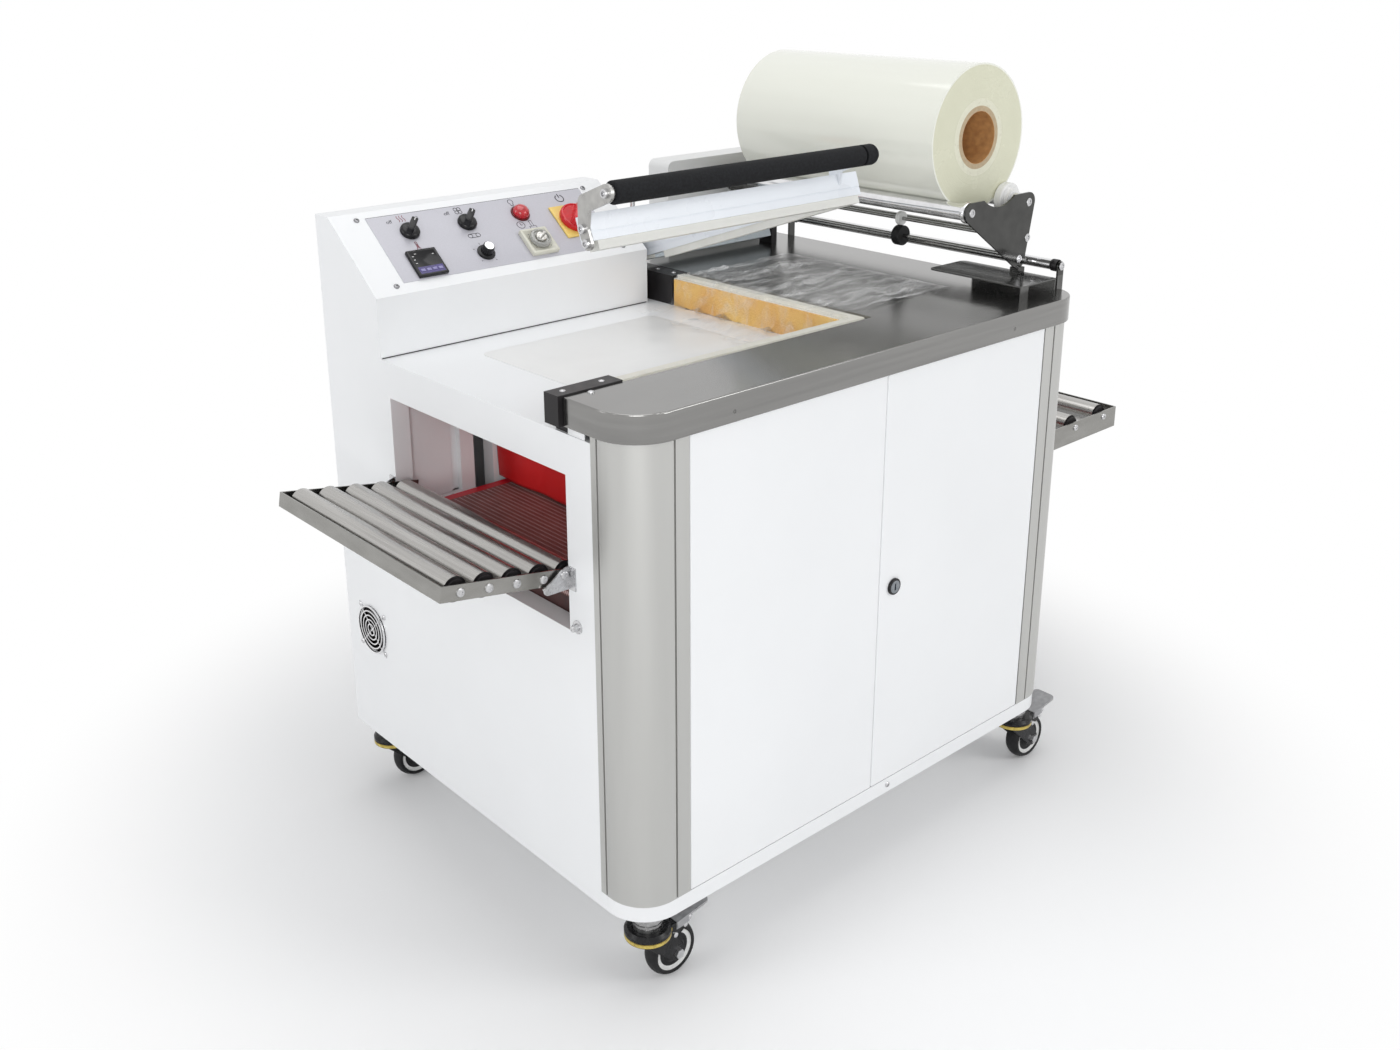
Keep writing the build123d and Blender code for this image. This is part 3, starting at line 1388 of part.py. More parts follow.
write("film_roll", *film_roll())
write("cradle_roller_left", cradle_roller(cradle_left_x))
write("cradle_roller_right", cradle_roller(cradle_right_x))
write("end_discs", *end_discs())
write("film_cradle", *film_cradle())
write("lower_roller", lower_roller())
write("perforator_wheel", small_wheel(rod_z_place, rubber_radius, rubber_width, rod_radius))
write("needle_wheel", small_wheel(rod_z_place + rubber_radius + needle_radius + seat_gap, needle_radius,
                                  needle_width, rod_radius))
write("loose_film", *loose_film())
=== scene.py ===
import json
from math import atan2, cos, hypot, pi, radians, sin

import bpy
import bmesh
from mathutils import Euler, Matrix, Vector, noise


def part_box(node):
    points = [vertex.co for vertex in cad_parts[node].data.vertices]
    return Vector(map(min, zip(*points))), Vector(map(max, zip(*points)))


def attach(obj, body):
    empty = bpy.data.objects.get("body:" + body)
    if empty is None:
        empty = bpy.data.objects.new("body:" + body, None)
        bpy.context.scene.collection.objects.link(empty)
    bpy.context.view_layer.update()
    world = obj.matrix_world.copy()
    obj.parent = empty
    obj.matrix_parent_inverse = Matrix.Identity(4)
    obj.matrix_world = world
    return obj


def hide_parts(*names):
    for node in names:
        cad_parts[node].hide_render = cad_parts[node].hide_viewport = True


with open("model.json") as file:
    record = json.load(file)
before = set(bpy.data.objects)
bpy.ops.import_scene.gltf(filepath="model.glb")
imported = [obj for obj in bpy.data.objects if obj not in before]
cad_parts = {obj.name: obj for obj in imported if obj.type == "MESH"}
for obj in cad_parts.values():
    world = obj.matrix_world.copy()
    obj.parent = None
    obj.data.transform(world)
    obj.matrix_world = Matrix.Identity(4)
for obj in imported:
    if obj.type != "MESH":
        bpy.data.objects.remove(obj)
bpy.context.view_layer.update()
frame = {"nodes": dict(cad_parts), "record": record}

# Studio: the camera stands at the left front corner, a little above the worktop,
# as the photograph was taken. The room is white, with broad soft lamps.
camera_data = bpy.data.cameras.new("camera")
camera_data.sensor_width = 36.0
camera_data.lens = 36.21
camera_data.shift_x = 0.0231
camera_data.shift_y = -0.082
camera = bpy.data.objects.new("camera", camera_data)
bpy.context.scene.collection.objects.link(camera)
aim = Euler((pi / 2 - 0.3197, 0, -0.7170)).to_matrix() @ Matrix.Rotation(-0.00756, 3, "Z")
camera.matrix_world = Matrix.Translation((-1.36695, -1.48013, 1.176)) @ aim.to_4x4()
bpy.context.scene.camera = camera
bpy.context.scene.view_settings.view_transform = "Standard"

world = bpy.data.worlds.new("white_room")
bpy.context.scene.world = world
world.use_nodes = True
room = world.node_tree
room.nodes.clear()
room_light = room.nodes.new("ShaderNodeBackground")
room_light.inputs["Color"].default_value = (0.97, 0.98, 1.0, 1)
room_light.inputs["Strength"].default_value = 0.46
room_seen = room.nodes.new("ShaderNodeBackground")
room_seen.inputs["Color"].default_value = (1, 1, 1, 1)
room_seen.inputs["Strength"].default_value = 1.0
rays = room.nodes.new("ShaderNodeLightPath")
through = room.nodes.new("ShaderNodeMath")
through.operation = "MAXIMUM"
room.links.new(rays.outputs["Is Glossy Ray"], through.inputs[0])
room.links.new(rays.outputs["Is Transmission Ray"], through.inputs[1])
seen = room.nodes.new("ShaderNodeMath")
seen.operation = "MAXIMUM"
room.links.new(rays.outputs["Is Camera Ray"], seen.inputs[0])
room.links.new(through.outputs[0], seen.inputs[1])
room_mix = room.nodes.new("ShaderNodeMixShader")
room.links.new(seen.outputs[0], room_mix.inputs["Fac"])
room.links.new(room_light.outputs[0], room_mix.inputs[1])
room.links.new(room_seen.outputs[0], room_mix.inputs[2])
room_out = room.nodes.new("ShaderNodeOutputWorld")
room.links.new(room_mix.outputs[0], room_out.inputs["Surface"])

for name, place, size, power in (
    ("key_lamp", (-2.4, -2.5, 1.3), 1.4, 35),
    ("front_lamp", (1.7, -2.9, 1.9), 1.4, 29),
    ("left_lamp", (-3.1, 0.9, 1.5), 1.4, 18),
    ("top_lamp", (0.1, 0.1, 3.4), 2.4, 31),
):
    lamp_data = bpy.data.lights.new(name, "AREA")
    lamp_data.size = size
    lamp_data.energy = power
    lamp = bpy.data.objects.new(name, lamp_data)
    lamp.matrix_world = Matrix.Translation(place) @ (
        Vector((0, 0, 0.3)) - Vector(place)
    ).to_track_quat("-Z", "Y").to_matrix().to_4x4()
    bpy.context.scene.collection.objects.link(lamp)

bpy.ops.object.select_all(action="DESELECT")
bpy.ops.mesh.primitive_plane_add(size=30, location=(0, 0, -0.1163))
floor = bpy.context.object
floor.name = "floor"
floor_paper = bpy.data.materials.new("floor_paper")
floor_paper.use_nodes = True
paper = floor_paper.node_tree
paper.nodes.clear()
paper_rays = paper.nodes.new("ShaderNodeLightPath")
paper_through = paper.nodes.new("ShaderNodeMath")
paper_through.operation = "MAXIMUM"
paper.links.new(paper_rays.outputs["Is Glossy Ray"], paper_through.inputs[0])
paper.links.new(paper_rays.outputs["Is Transmission Ray"], paper_through.inputs[1])
paper_seen = paper.nodes.new("ShaderNodeMath")
paper_seen.operation = "MAXIMUM"
paper.links.new(paper_rays.outputs["Is Camera Ray"], paper_seen.inputs[0])
paper.links.new(paper_through.outputs[0], paper_seen.inputs[1])
paper_matt = paper.nodes.new("ShaderNodeBsdfDiffuse")
paper_matt.inputs["Color"].default_value = (0.92, 0.92, 0.92, 1)
paper_glow = paper.nodes.new("ShaderNodeEmission")
paper_glow.inputs["Color"].default_value = (1, 1, 1, 1)
paper_dim = paper.nodes.new("ShaderNodeMath")
paper_dim.operation = "MULTIPLY"
paper_dim.inputs[1].default_value = 0.03
paper.links.new(paper_seen.outputs[0], paper_dim.inputs[0])
paper.links.new(paper_dim.outputs[0], paper_glow.inputs["Strength"])
paper_sum = paper.nodes.new("ShaderNodeAddShader")
paper.links.new(paper_matt.outputs[0], paper_sum.inputs[0])
paper.links.new(paper_glow.outputs[0], paper_sum.inputs[1])
paper_place = paper.nodes.new("ShaderNodeTexCoord")
paper_away = paper.nodes.new("ShaderNodeVectorMath")
paper_away.operation = "LENGTH"
paper.links.new(paper_place.outputs["Object"], paper_away.inputs[0])
paper_fade = paper.nodes.new("ShaderNodeMapRange")
paper_fade.interpolation_type = "SMOOTHSTEP"
paper_fade.inputs["From Min"].default_value = 0.62
paper_fade.inputs["From Max"].default_value = 1.15
paper.links.new(paper_away.outputs["Value"], paper_fade.inputs["Value"])
paper_far = paper.nodes.new("ShaderNodeMath")
paper_far.operation = "MULTIPLY"
paper.links.new(paper_fade.outputs["Result"], paper_far.inputs[0])
paper.links.new(paper_seen.outputs[0], paper_far.inputs[1])
paper_white = paper.nodes.new("ShaderNodeEmission")
paper_white.inputs["Color"].default_value = (1, 1, 1, 1)
paper_white.inputs["Strength"].default_value = 1.0
paper_mix = paper.nodes.new("ShaderNodeMixShader")
paper.links.new(paper_far.outputs[0], paper_mix.inputs["Fac"])
paper.links.new(paper_sum.outputs[0], paper_mix.inputs[1])
paper.links.new(paper_white.outputs[0], paper_mix.inputs[2])
paper_out = paper.nodes.new("ShaderNodeOutputMaterial")
paper.links.new(paper_mix.outputs[0], paper_out.inputs["Surface"])
floor.data.materials.append(floor_paper)


# Base plate: pressed steel tray with a raised rim, powder coated white. The casters are bolted
# under it and the columns and walls stand on its rim.
def dress(tree, light, dark, grain, rough, relief=0.0, fine=0.001, stretch=(1, 1, 1), metallic=0.0,
          more=()):
    """One finish. Tone and sheen vary with a grain in metres, and a finer relief catches the light."""
    place = tree.nodes.new("ShaderNodeTexCoord")
    turn = tree.nodes.new("ShaderNodeMapping")
    turn.inputs["Scale"].default_value = stretch
    tree.links.new(place.outputs["Object"], turn.inputs["Vector"])
    cloud = tree.nodes.new("ShaderNodeTexNoise")
    cloud.inputs["Scale"].default_value = 1 / grain
    cloud.inputs["Detail"].default_value = 5
    tree.links.new(turn.outputs["Vector"], cloud.inputs["Vector"])
    tone = tree.nodes.new("ShaderNodeValToRGB")
    tone.color_ramp.elements[0].position = 0.32
    tone.color_ramp.elements[0].color = (*dark, 1)
    tone.color_ramp.elements[1].position = 0.68
    tone.color_ramp.elements[1].color = (*light, 1)
    tree.links.new(cloud.outputs["Fac"], tone.inputs["Fac"])
    sheen = tree.nodes.new("ShaderNodeMapRange")
    sheen.inputs["From Min"].default_value = 0.3
    sheen.inputs["From Max"].default_value = 0.7
    sheen.inputs["To Min"].default_value = rough[0]
    sheen.inputs["To Max"].default_value = rough[1]
    tree.links.new(cloud.outputs["Fac"], sheen.inputs["Value"])
    shader = tree.nodes.new("ShaderNodeBsdfPrincipled")
    shader.inputs["Metallic"].default_value = metallic
    tree.links.new(tone.outputs["Color"], shader.inputs["Base Color"])
    tree.links.new(sheen.outputs["Result"], shader.inputs["Roughness"])
    if relief:
        speck = tree.nodes.new("ShaderNodeTexNoise")
        speck.inputs["Scale"].default_value = 1 / fine
        speck.inputs["Detail"].default_value = 2
        tree.links.new(turn.outputs["Vector"], speck.inputs["Vector"])
        bump = tree.nodes.new("ShaderNodeBump")
        bump.inputs["Strength"].default_value = relief
        bump.inputs["Distance"].default_value = fine
        tree.links.new(speck.outputs["Fac"], bump.inputs["Height"])
        tree.links.new(bump.outputs["Normal"], shader.inputs["Normal"])
    for socket, value in more:
        shader.inputs[socket].default_value = value
    return shader


def zone(tree, tests):
    """1 where every test holds. A test is an axis or a direction with a low and a high limit, or a
    line along an axis to measure from."""
    place = tree.nodes.new("ShaderNodeTexCoord")
    total = None
    for axis, low, high, *centre in tests:
        if centre:
            away = tree.nodes.new("ShaderNodeVectorMath")
            away.operation = "SUBTRACT"
            tree.links.new(place.outputs["Object"], away.inputs[0])
            away.inputs[1].default_value = centre[0]
            flat = tree.nodes.new("ShaderNodeVectorMath")
            flat.operation = "MULTIPLY"
            tree.links.new(away.outputs[0], flat.inputs[0])
            flat.inputs[1].default_value = [0 if letter == axis else 1 for letter in "xyz"]
            reach = tree.nodes.new("ShaderNodeVectorMath")
            reach.operation = "LENGTH"
            tree.links.new(flat.outputs[0], reach.inputs[0])
            value = reach.outputs["Value"]
        else:
            along = tree.nodes.new("ShaderNodeVectorMath")
            along.operation = "DOT_PRODUCT"
            tree.links.new(place.outputs["Object"], along.inputs[0])
            along.inputs[1].default_value = {"x": (1, 0, 0), "y": (0, 1, 0), "z": (0, 0, 1)}.get(axis, axis)
            value = along.outputs["Value"]
        for operation, limit in (("GREATER_THAN", low), ("LESS_THAN", high)):
            test = tree.nodes.new("ShaderNodeMath")
            test.operation = operation
            tree.links.new(value, test.inputs[0])
            test.inputs[1].default_value = limit
            if total is None:
                total = test.outputs[0]
            else:
                both = tree.nodes.new("ShaderNodeMath")
                both.operation = "MULTIPLY"
                tree.links.new(total, both.inputs[0])
                tree.links.new(test.outputs[0], both.inputs[1])
                total = both.outputs[0]
    return total


def material_of(name, base, *patches):
    """A material with one finish all over, and other finishes where their tests hold."""
    material = bpy.data.materials.new(name)
    material.use_nodes = True
    tree = material.node_tree
    tree.nodes.remove(tree.nodes["Principled BSDF"])
    result = dress(tree, **base).outputs["BSDF"]
    for finish, tests in patches:
        both = tree.nodes.new("ShaderNodeMixShader")
        tree.links.new(zone(tree, tests), both.inputs["Fac"])
        tree.links.new(result, both.inputs[1])
        tree.links.new(dress(tree, **finish).outputs["BSDF"], both.inputs[2])
        result = both.outputs[0]
    tree.links.new(result, tree.nodes["Material Output"].inputs["Surface"])
    return material


def paint(material, *nodes):
    """Gives a finish to solids that keep their shape."""
    for node in nodes:
        solid = frame["nodes"][node]
        if not solid.material_slots:
            solid.data.materials.append(material)
        for holder in solid.material_slots:
            holder.material = material


white_coat = dict(light=(0.855, 0.865, 0.875), dark=(0.83, 0.84, 0.85), grain=0.22, rough=(0.28, 0.36),
                  relief=0.05, fine=0.0012, more=(("Coat Weight", 0.2), ("Coat Roughness", 0.15)))
white_paint = material_of("white_paint", white_coat)
paint(white_paint, "base_plate")

# Casters: zinc stem and plate, a black ball race with a yellow passivated ring, a black pressed
# fork, a black tyre with a pale ring round the hub, and a grey brake pedal.
black_steel = dict(light=(0.014, 0.014, 0.015), dark=(0.008, 0.008, 0.009), grain=0.01, rough=(0.22, 0.34),
                   relief=0.08, fine=0.001, more=(("Specular IOR Level", 0.25),))
bright_steel = dict(light=(0.62, 0.62, 0.63), dark=(0.52, 0.52, 0.53), grain=0.006, rough=(0.22, 0.34),
                    relief=0.1, fine=0.0006, metallic=1.0)
grey_pedal = dict(light=(0.40, 0.40, 0.41), dark=(0.30, 0.30, 0.31), grain=0.008, rough=(0.3, 0.42),
                  relief=0.1, fine=0.0008, metallic=0.5)
yellow_zinc = dict(light=(0.70, 0.56, 0.14), dark=(0.46, 0.34, 0.08), grain=0.008, rough=(0.26, 0.4),
                   relief=0.08, fine=0.0008, metallic=0.5)
paint(material_of("caster_stems", dict(bright_steel, light=(0.42, 0.42, 0.42), dark=(0.32, 0.32, 0.32))),
      "caster_mounts")
tyre_black = dict(light=(0.018, 0.018, 0.019), dark=(0.010, 0.010, 0.011), grain=0.01, rough=(0.45, 0.6),
                  relief=0.12, fine=0.0009, more=(("Specular IOR Level", 0.22),))
pale_ring = dict(light=(0.74, 0.74, 0.73), dark=(0.64, 0.64, 0.63), grain=0.01, rough=(0.4, 0.5),
                 relief=0.05, fine=0.001)
for number in (1, 2, 3, 4):
    low_corner, high_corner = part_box(f"caster_wheel_{number}")
    hub = tuple((a + b) / 2 for a, b in zip(low_corner, high_corner))
    swivel = (hub[0] - 0.037, hub[1], -0.03)
    paint(material_of(f"caster_fork_{number}_finish", black_steel,
                      (yellow_zinc, [("z", -0.0388, -0.0338), ("z", 0.0295, 0.032, swivel)]),
                      (grey_pedal, [("x", swivel[0] + 0.0345, swivel[0] + 0.2), ("z", -0.0415, 0.0)]),
                      (bright_steel, [("y", -1, 0.009, hub), ("y", hub[1] + 0.0176, hub[1] + 0.03)]),
                      (bright_steel, [("y", -1, 0.009, hub), ("y", hub[1] - 0.03, hub[1] - 0.0176)]),
                      ), f"caster_fork_{number}")
    paint(material_of(f"caster_wheel_{number}_finish", tyre_black,
                      (pale_ring, [("y", 0.0235, 0.0290, hub)]),
                      (dict(bright_steel, light=(0.30, 0.30, 0.31), dark=(0.2, 0.2, 0.21)),
                       [("y", 0.0, 0.012, hub)])), f"caster_wheel_{number}")


def turned(name, steps, at=(0, 0, 0), axis=(0, 0, 1), vertices=32):
    """A turned piece, drawn out from a disc along its axis in steps of height and radius."""
    bpy.ops.object.select_all(action="DESELECT")
    bpy.ops.mesh.primitive_circle_add(vertices=vertices, radius=steps[0][1], fill_type="NGON",
                                      location=(0, 0, steps[0][0]))
    piece = bpy.context.object
    piece.name = name
    bpy.ops.object.transform_apply(location=True, rotation=True, scale=True)
    bpy.ops.object.mode_set(mode="EDIT")
    bpy.ops.mesh.select_all(action="SELECT")
    for (low, wide), (high, next_wide) in zip(steps, steps[1:]):
        bpy.ops.mesh.extrude_region_move(TRANSFORM_OT_translate={"value": (0, 0, high - low)})
        change = next_wide / wide
        bpy.ops.transform.resize(value=(change, change, 1), center_override=(0, 0, high))
    bpy.ops.mesh.select_all(action="SELECT")
    bpy.ops.mesh.normals_make_consistent(inside=False)
    bpy.ops.object.mode_set(mode="OBJECT")
    turn = Vector((0, 0, 1)).rotation_difference(Vector(axis)).to_matrix().to_4x4()
    piece.data.transform(Matrix.Translation(at) @ turn)
    bpy.ops.object.shade_smooth_by_angle(angle=radians(35))
    return piece


def copies(pattern, name, places):
    """The same small piece at other places, each turned from +Z to its own direction, as one object."""
    made = []
    for at, axis in places:
        turn = Vector((0, 0, 1)).rotation_difference(Vector(axis)).to_matrix().to_4x4()
        mesh = pattern.data.copy()
        mesh.transform(Matrix.Translation(at) @ turn)
        copy = bpy.data.objects.new(name, mesh)
        bpy.context.scene.collection.objects.link(copy)
        made.append(copy)
    return joined(made, name)


def joined(parts, name):
    """Several pieces made one."""
    bpy.ops.object.select_all(action="DESELECT")
    for part in parts:
        part.select_set(True)
    bpy.context.view_layer.objects.active = parts[0]
    if len(parts) > 1:
        bpy.ops.object.join()
    parts[0].name = name
    return parts[0]


def fit(piece, body, material):
    """The finished piece gets its material and moves with its body."""
    piece.data.materials.clear()
    piece.data.materials.append(material)
    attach(piece, body)
    return piece


steel = material_of("fastener_steel", bright_steel)
screw_pattern = turned("screw_pattern", [(0, 0.0042), (0.0010, 0.0042), (0.0018, 0.0034), (0.0021, 0.0022),
                                         (0.0021, 0.0016), (0.0009, 0.0014)], vertices=18)
rivet_pattern = turned("rivet_pattern", [(0, 0.0036), (0.0007, 0.0036), (0.0015, 0.0026), (0.0018, 0.0010)],
                       vertices=16)
for number in (1, 2, 3, 4):
    low_corner, high_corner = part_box(f"caster_wheel_{number}")
    hub = tuple((a + b) / 2 for a, b in zip(low_corner, high_corner))
    places = []
    for side in (-1, 1):
        for along, height in ((-0.004, -0.049), (0.013, -0.041), (0.020, -0.0335)):
            places.append(((hub[0] - 0.0 + along, hub[1] + side * 0.0175, height), (0, side, 0)))
    fit(copies(rivet_pattern, f"caster_rivets_{number}", places), f"caster_{number}", steel)

# Corner columns: extruded aluminium, satin anodised, with a groove down each side.
# They stand on the base and carry the worktop's front corners.
anodised = dict(light=(0.53, 0.53, 0.515), dark=(0.505, 0.505, 0.49), grain=0.03, rough=(0.46, 0.52),
                relief=0.02, fine=0.0006, stretch=(1, 1, 0.06), metallic=0.8)
paint(material_of("column_finish", anodised), "corner_columns")

# Cabinet: welded steel sheet, powder coated white, with a tunnel mouth in each end wall. The two
# doors are folded pans of the same sheet, and the upright cover at the back is a shade warmer.
paint(white_paint, "cabinet_shell", "door_left", "door_right", "control_box", "tunnel_hood")
cover_coat = dict(light=(0.80, 0.805, 0.80), dark=(0.77, 0.775, 0.77), grain=0.15, rough=(0.3, 0.4),
                  relief=0.06, fine=0.0012)
paint(material_of("cover_finish", cover_coat), "rear_cover")
wall_places = [((0.0365, -0.350, 0.0125), (0, -1, 0))]
wall_places += [((-0.435, y, z), (-1, 0, 0)) for y, z in ((0.308, 0.218), (0.240, 0.2195), (0.311, 0.154),
                                                         (0.243, 0.156))]
fit(copies(screw_pattern, "wall_screws", wall_places), "cabinet", steel)
sill_places = [((side * x, y, 0.4140), (0, 0, 1)) for side in (-1, 1) for x in (0.345, 0.398)
               for y in (0.170, -0.222)]
fit(copies(rivet_pattern, "sill_rivets", sill_places), "cabinet", steel)

# Door lock: a black rim round a grey barrel with a key slot, turned by a quarter with its cam behind.
lock_centre = (0.029, -0.35, 0.332)
paint(material_of("lock_finish", dict(bright_steel, light=(0.30, 0.32, 0.34), dark=(0.20, 0.22, 0.24)),
                  (black_steel, [("y", 0.0092, 0.02, lock_centre), ("y", -0.36, -0.3495)]),
                  ), "door_lock")

# Hinge pins, tray brackets and stop pins: plain zinc plated steel.
paint(material_of("hinge_finish", bright_steel), "hinge_hardware")

# Worktop: folded stainless sheet, brushed along its length, with a skirt all round. It is held by
# small pan-head screws through the skirt.
brushed = dict(light=(0.295, 0.292, 0.284), dark=(0.245, 0.242, 0.236), grain=0.012, rough=(0.17, 0.23),
               relief=0.02, fine=0.0007, stretch=(0.03, 0.06, 1), metallic=0.97)
paint(material_of("worktop_finish", brushed), "worktop")
band_places = [((x, -0.3529, 0.657), (0, -1, 0)) for x in (-0.282, 0.265)]
band_places += [((0.4385, y, 0.657), (1, 0, 0)) for y in (-0.20, 0.05, 0.25)]
fit(copies(screw_pattern, "worktop_screws", band_places + [((-0.405, -0.2408, 0.68), (0, 0, 1))]),
    "cabinet", steel)

# Lower seal bars: an L of white coated aluminium with a cream silicone strip on top. The orange
# sponge beside the cross bar keeps the film from sticking.
bar_white = dict(light=(0.80, 0.82, 0.84), dark=(0.76, 0.78, 0.80), grain=0.06, rough=(0.25, 0.35),
                 relief=0.04, fine=0.001)
cream_silicone = dict(light=(0.80, 0.785, 0.71), dark=(0.74, 0.72, 0.64), grain=0.02, rough=(0.4, 0.55),
                      relief=0.1, fine=0.0012)
orange_sponge = dict(light=(0.90, 0.58, 0.16), dark=(0.76, 0.40, 0.09), grain=0.05, rough=(0.5, 0.7),
                     relief=0.6, fine=0.0025)
paint(material_of("seal_bar_finish", bar_white,
                  (cream_silicone, [("z", 0.6755, 0.7)]),
                  (orange_sponge, [("x", 0.0655, 0.0699), ("z", 0.63, 0.6755)])), "lower_seal_bars")
moulded_black = dict(light=(0.018, 0.016, 0.017), dark=(0.010, 0.009, 0.010), grain=0.02, rough=(0.3, 0.45),
                     relief=0.1, fine=0.0012, more=(("Specular IOR Level", 0.25),))
end_block_finish = material_of("end_block_finish", moulded_black)
paint(end_block_finish, "seal_end_blocks")
socket_pattern = turned("socket_pattern",
                        [(0, 0.0038), (0.0004, 0.0038), (0.0008, 0.0034), (0.0008, 0.0021),
                                           (0.0001, 0.0019)], vertices=24)
fit(copies(socket_pattern, "end_block_screws",
           [((x, -0.219, 0.682), (0, 0, 1)) for x in (-0.430, -0.372)]
           + [((0.083, y, 0.680), (0, 0, 1)) for y in (0.166, 0.204)]), "cabinet", steel)

# Arm bearings: black plates with the hinge pins. A stop post on the left one carries a grey screw.
paint(material_of("bearing_finish", moulded_black, (bright_steel, [("z", 0.7752, 0.8)])), "arm_bearings")

# Seal arm: mitred aluminium extrusion coated a cool white, with a cream lip below, on a rear bar
# that turns between the bearings. It rests raised, so its lip is found along the arm's own height.
arm_open = radians(next(joint for joint in frame["record"]["behaviour"]["joints"]
                        if joint["name"] == "arm_swing")["range_deg"][1])
hinge = Vector((0, 0.240, 0.702))
arm_up = (0, sin(arm_open), cos(arm_open))
arm_turn = Matrix.Translation(hinge) @ Matrix.Rotation(-arm_open, 4, "X") @ Matrix.Translation(-hinge)


def arm_level(height):
    """A height on the closed arm, measured along the raised arm's own upright."""
    return height - hinge.z + hinge.dot(Vector(arm_up))


arm_lip_top = 0.694
arm_white = dict(light=(0.765, 0.80, 0.845), dark=(0.735, 0.77, 0.815), grain=0.08, rough=(0.25, 0.34),
                 relief=0.02, fine=0.001)
lip_cream = dict(light=(0.74, 0.74, 0.705), dark=(0.69, 0.69, 0.65), grain=0.03, rough=(0.35, 0.5),
                 relief=0.04, fine=0.001)
bar_bluish = dict(light=(0.60, 0.66, 0.70), dark=(0.54, 0.60, 0.64), grain=0.05, rough=(0.25, 0.35),
                  relief=0.03, fine=0.001)
paint(material_of("arm_finish", arm_white,
                  (lip_cream, [(arm_up, -1, arm_level(arm_lip_top))]),
                  (bar_bluish, [("x", 0.0952, 0.4)])), "seal_arm")

# Handle: two curved plates carry a tube under a black foam grip. The left plate is bare steel held
# by socket screws, the right one is coated like the arm.
foam_black = dict(light=(0.020, 0.021, 0.023), dark=(0.009, 0.009, 0.010), grain=0.003, rough=(0.7, 0.9),
                  relief=0.35, fine=0.0010, more=(("Specular IOR Level", 0.15),))
plate_steel = dict(light=(0.46, 0.455, 0.44), dark=(0.38, 0.375, 0.365), grain=0.01, rough=(0.26, 0.38),
                   relief=0.08, fine=0.0008, metallic=0.9)
paint(material_of("handle_finish", foam_black,
                  (plate_steel, [("x", -0.376, -0.3665)]),
                  (arm_white, [("x", 0.0555, 0.0605), (arm_up, -1, arm_level(0.7245))]),
                  (arm_white, [("x", 0.0555, 0.0605),
                               ("x", 0.0150, 0.2, tuple(arm_turn @ Vector((0, -0.2784, 0.7401))))]),
                  ), "arm_handle")
bolt_pattern = turned("bolt_pattern", [(0, 0.0058), (0.0034, 0.0058), (0.0042, 0.0050), (0.0042, 0.0030),
                                       (0.0016, 0.0027)], vertices=24)
bracket_bolts = [(-0.2784, 0.7401), (-0.2219, 0.7105), (-0.2237, 0.6925)]
handle_bolts = copies(bolt_pattern, "handle_bolts",
                      [((-0.374, y, z), (-1, 0, 0)) for y, z in bracket_bolts])
handle_bolts.data.transform(arm_turn)
fit(handle_bolts, "seal_arm", steel)
cap_pattern = turned("cap_pattern", [(0, 0.01400), (0.0012, 0.0139), (0.0036, 0.0132), (0.0058, 0.0117),
                                     (0.0076, 0.0092), (0.0086, 0.0060), (0.0090, 0.0025)], vertices=40)
grip_cap = copies(cap_pattern, "grip_cap", [((0.0762, -0.2784, 0.7401), (1, 0, 0))])
grip_cap.data.transform(arm_turn)
fit(grip_cap, "seal_arm", material_of("foam_finish", foam_black))

# Control panel: a grey printed overlay on the box's slope, held by four screws in the white sheet.
# Places on it are measured across from the box's left end and up from the slope's lower edge.
slope_length = hypot(0.1215, 0.0963)
slope_run = 0.1215 / slope_length
slope_rise = 0.0963 / slope_length


def on_slope(across, up, lift=0.0, turn=0.0):
    """Where a piece drawn flat goes on the slope."""
    origin = Vector((-0.435, 0.1925, 0.7187))
    right = Vector((1, 0, 0))
    along = Vector((0, slope_run, slope_rise))
    out = Vector((0, -slope_rise, slope_run))
    frame_of_slope = Matrix((right, along, out)).transposed().to_4x4()
    return Matrix.Translation(origin + across * right + up * along + lift * out) @ frame_of_slope @ Matrix.Rotation(
        turn, 4, "Z")


def moulding(name, size, at, round_by, segments=3, taper=1.0):
    """A moulded block with its edges rounded, narrower at the top by its taper."""
    bpy.ops.object.select_all(action="DESELECT")
    bpy.ops.mesh.primitive_cube_add(size=1, location=at)
    piece = bpy.context.object
    piece.name = name
    piece.scale = size
    bpy.ops.object.transform_apply(location=True, rotation=True, scale=True)
    bpy.ops.object.mode_set(mode="EDIT")
    bpy.ops.mesh.select_all(action="DESELECT")
    shape = bmesh.from_edit_mesh(piece.data)
    shape.select_mode = {"FACE"}
    bpy.ops.mesh.select_mode(type="FACE")
    for face in shape.faces:
        face.select_set(face.normal.z > 0.9)
    bmesh.update_edit_mesh(piece.data)
    bpy.ops.transform.resize(value=(taper, taper, 1), center_override=(at[0], at[1], at[2] + size[2] / 2))
    bpy.ops.mesh.select_all(action="SELECT")
    bpy.ops.mesh.bevel(offset=round_by, segments=segments, affect="EDGES")
    bpy.ops.object.mode_set(mode="OBJECT")
    bpy.ops.object.shade_smooth_by_angle(angle=radians(40))
    return piece


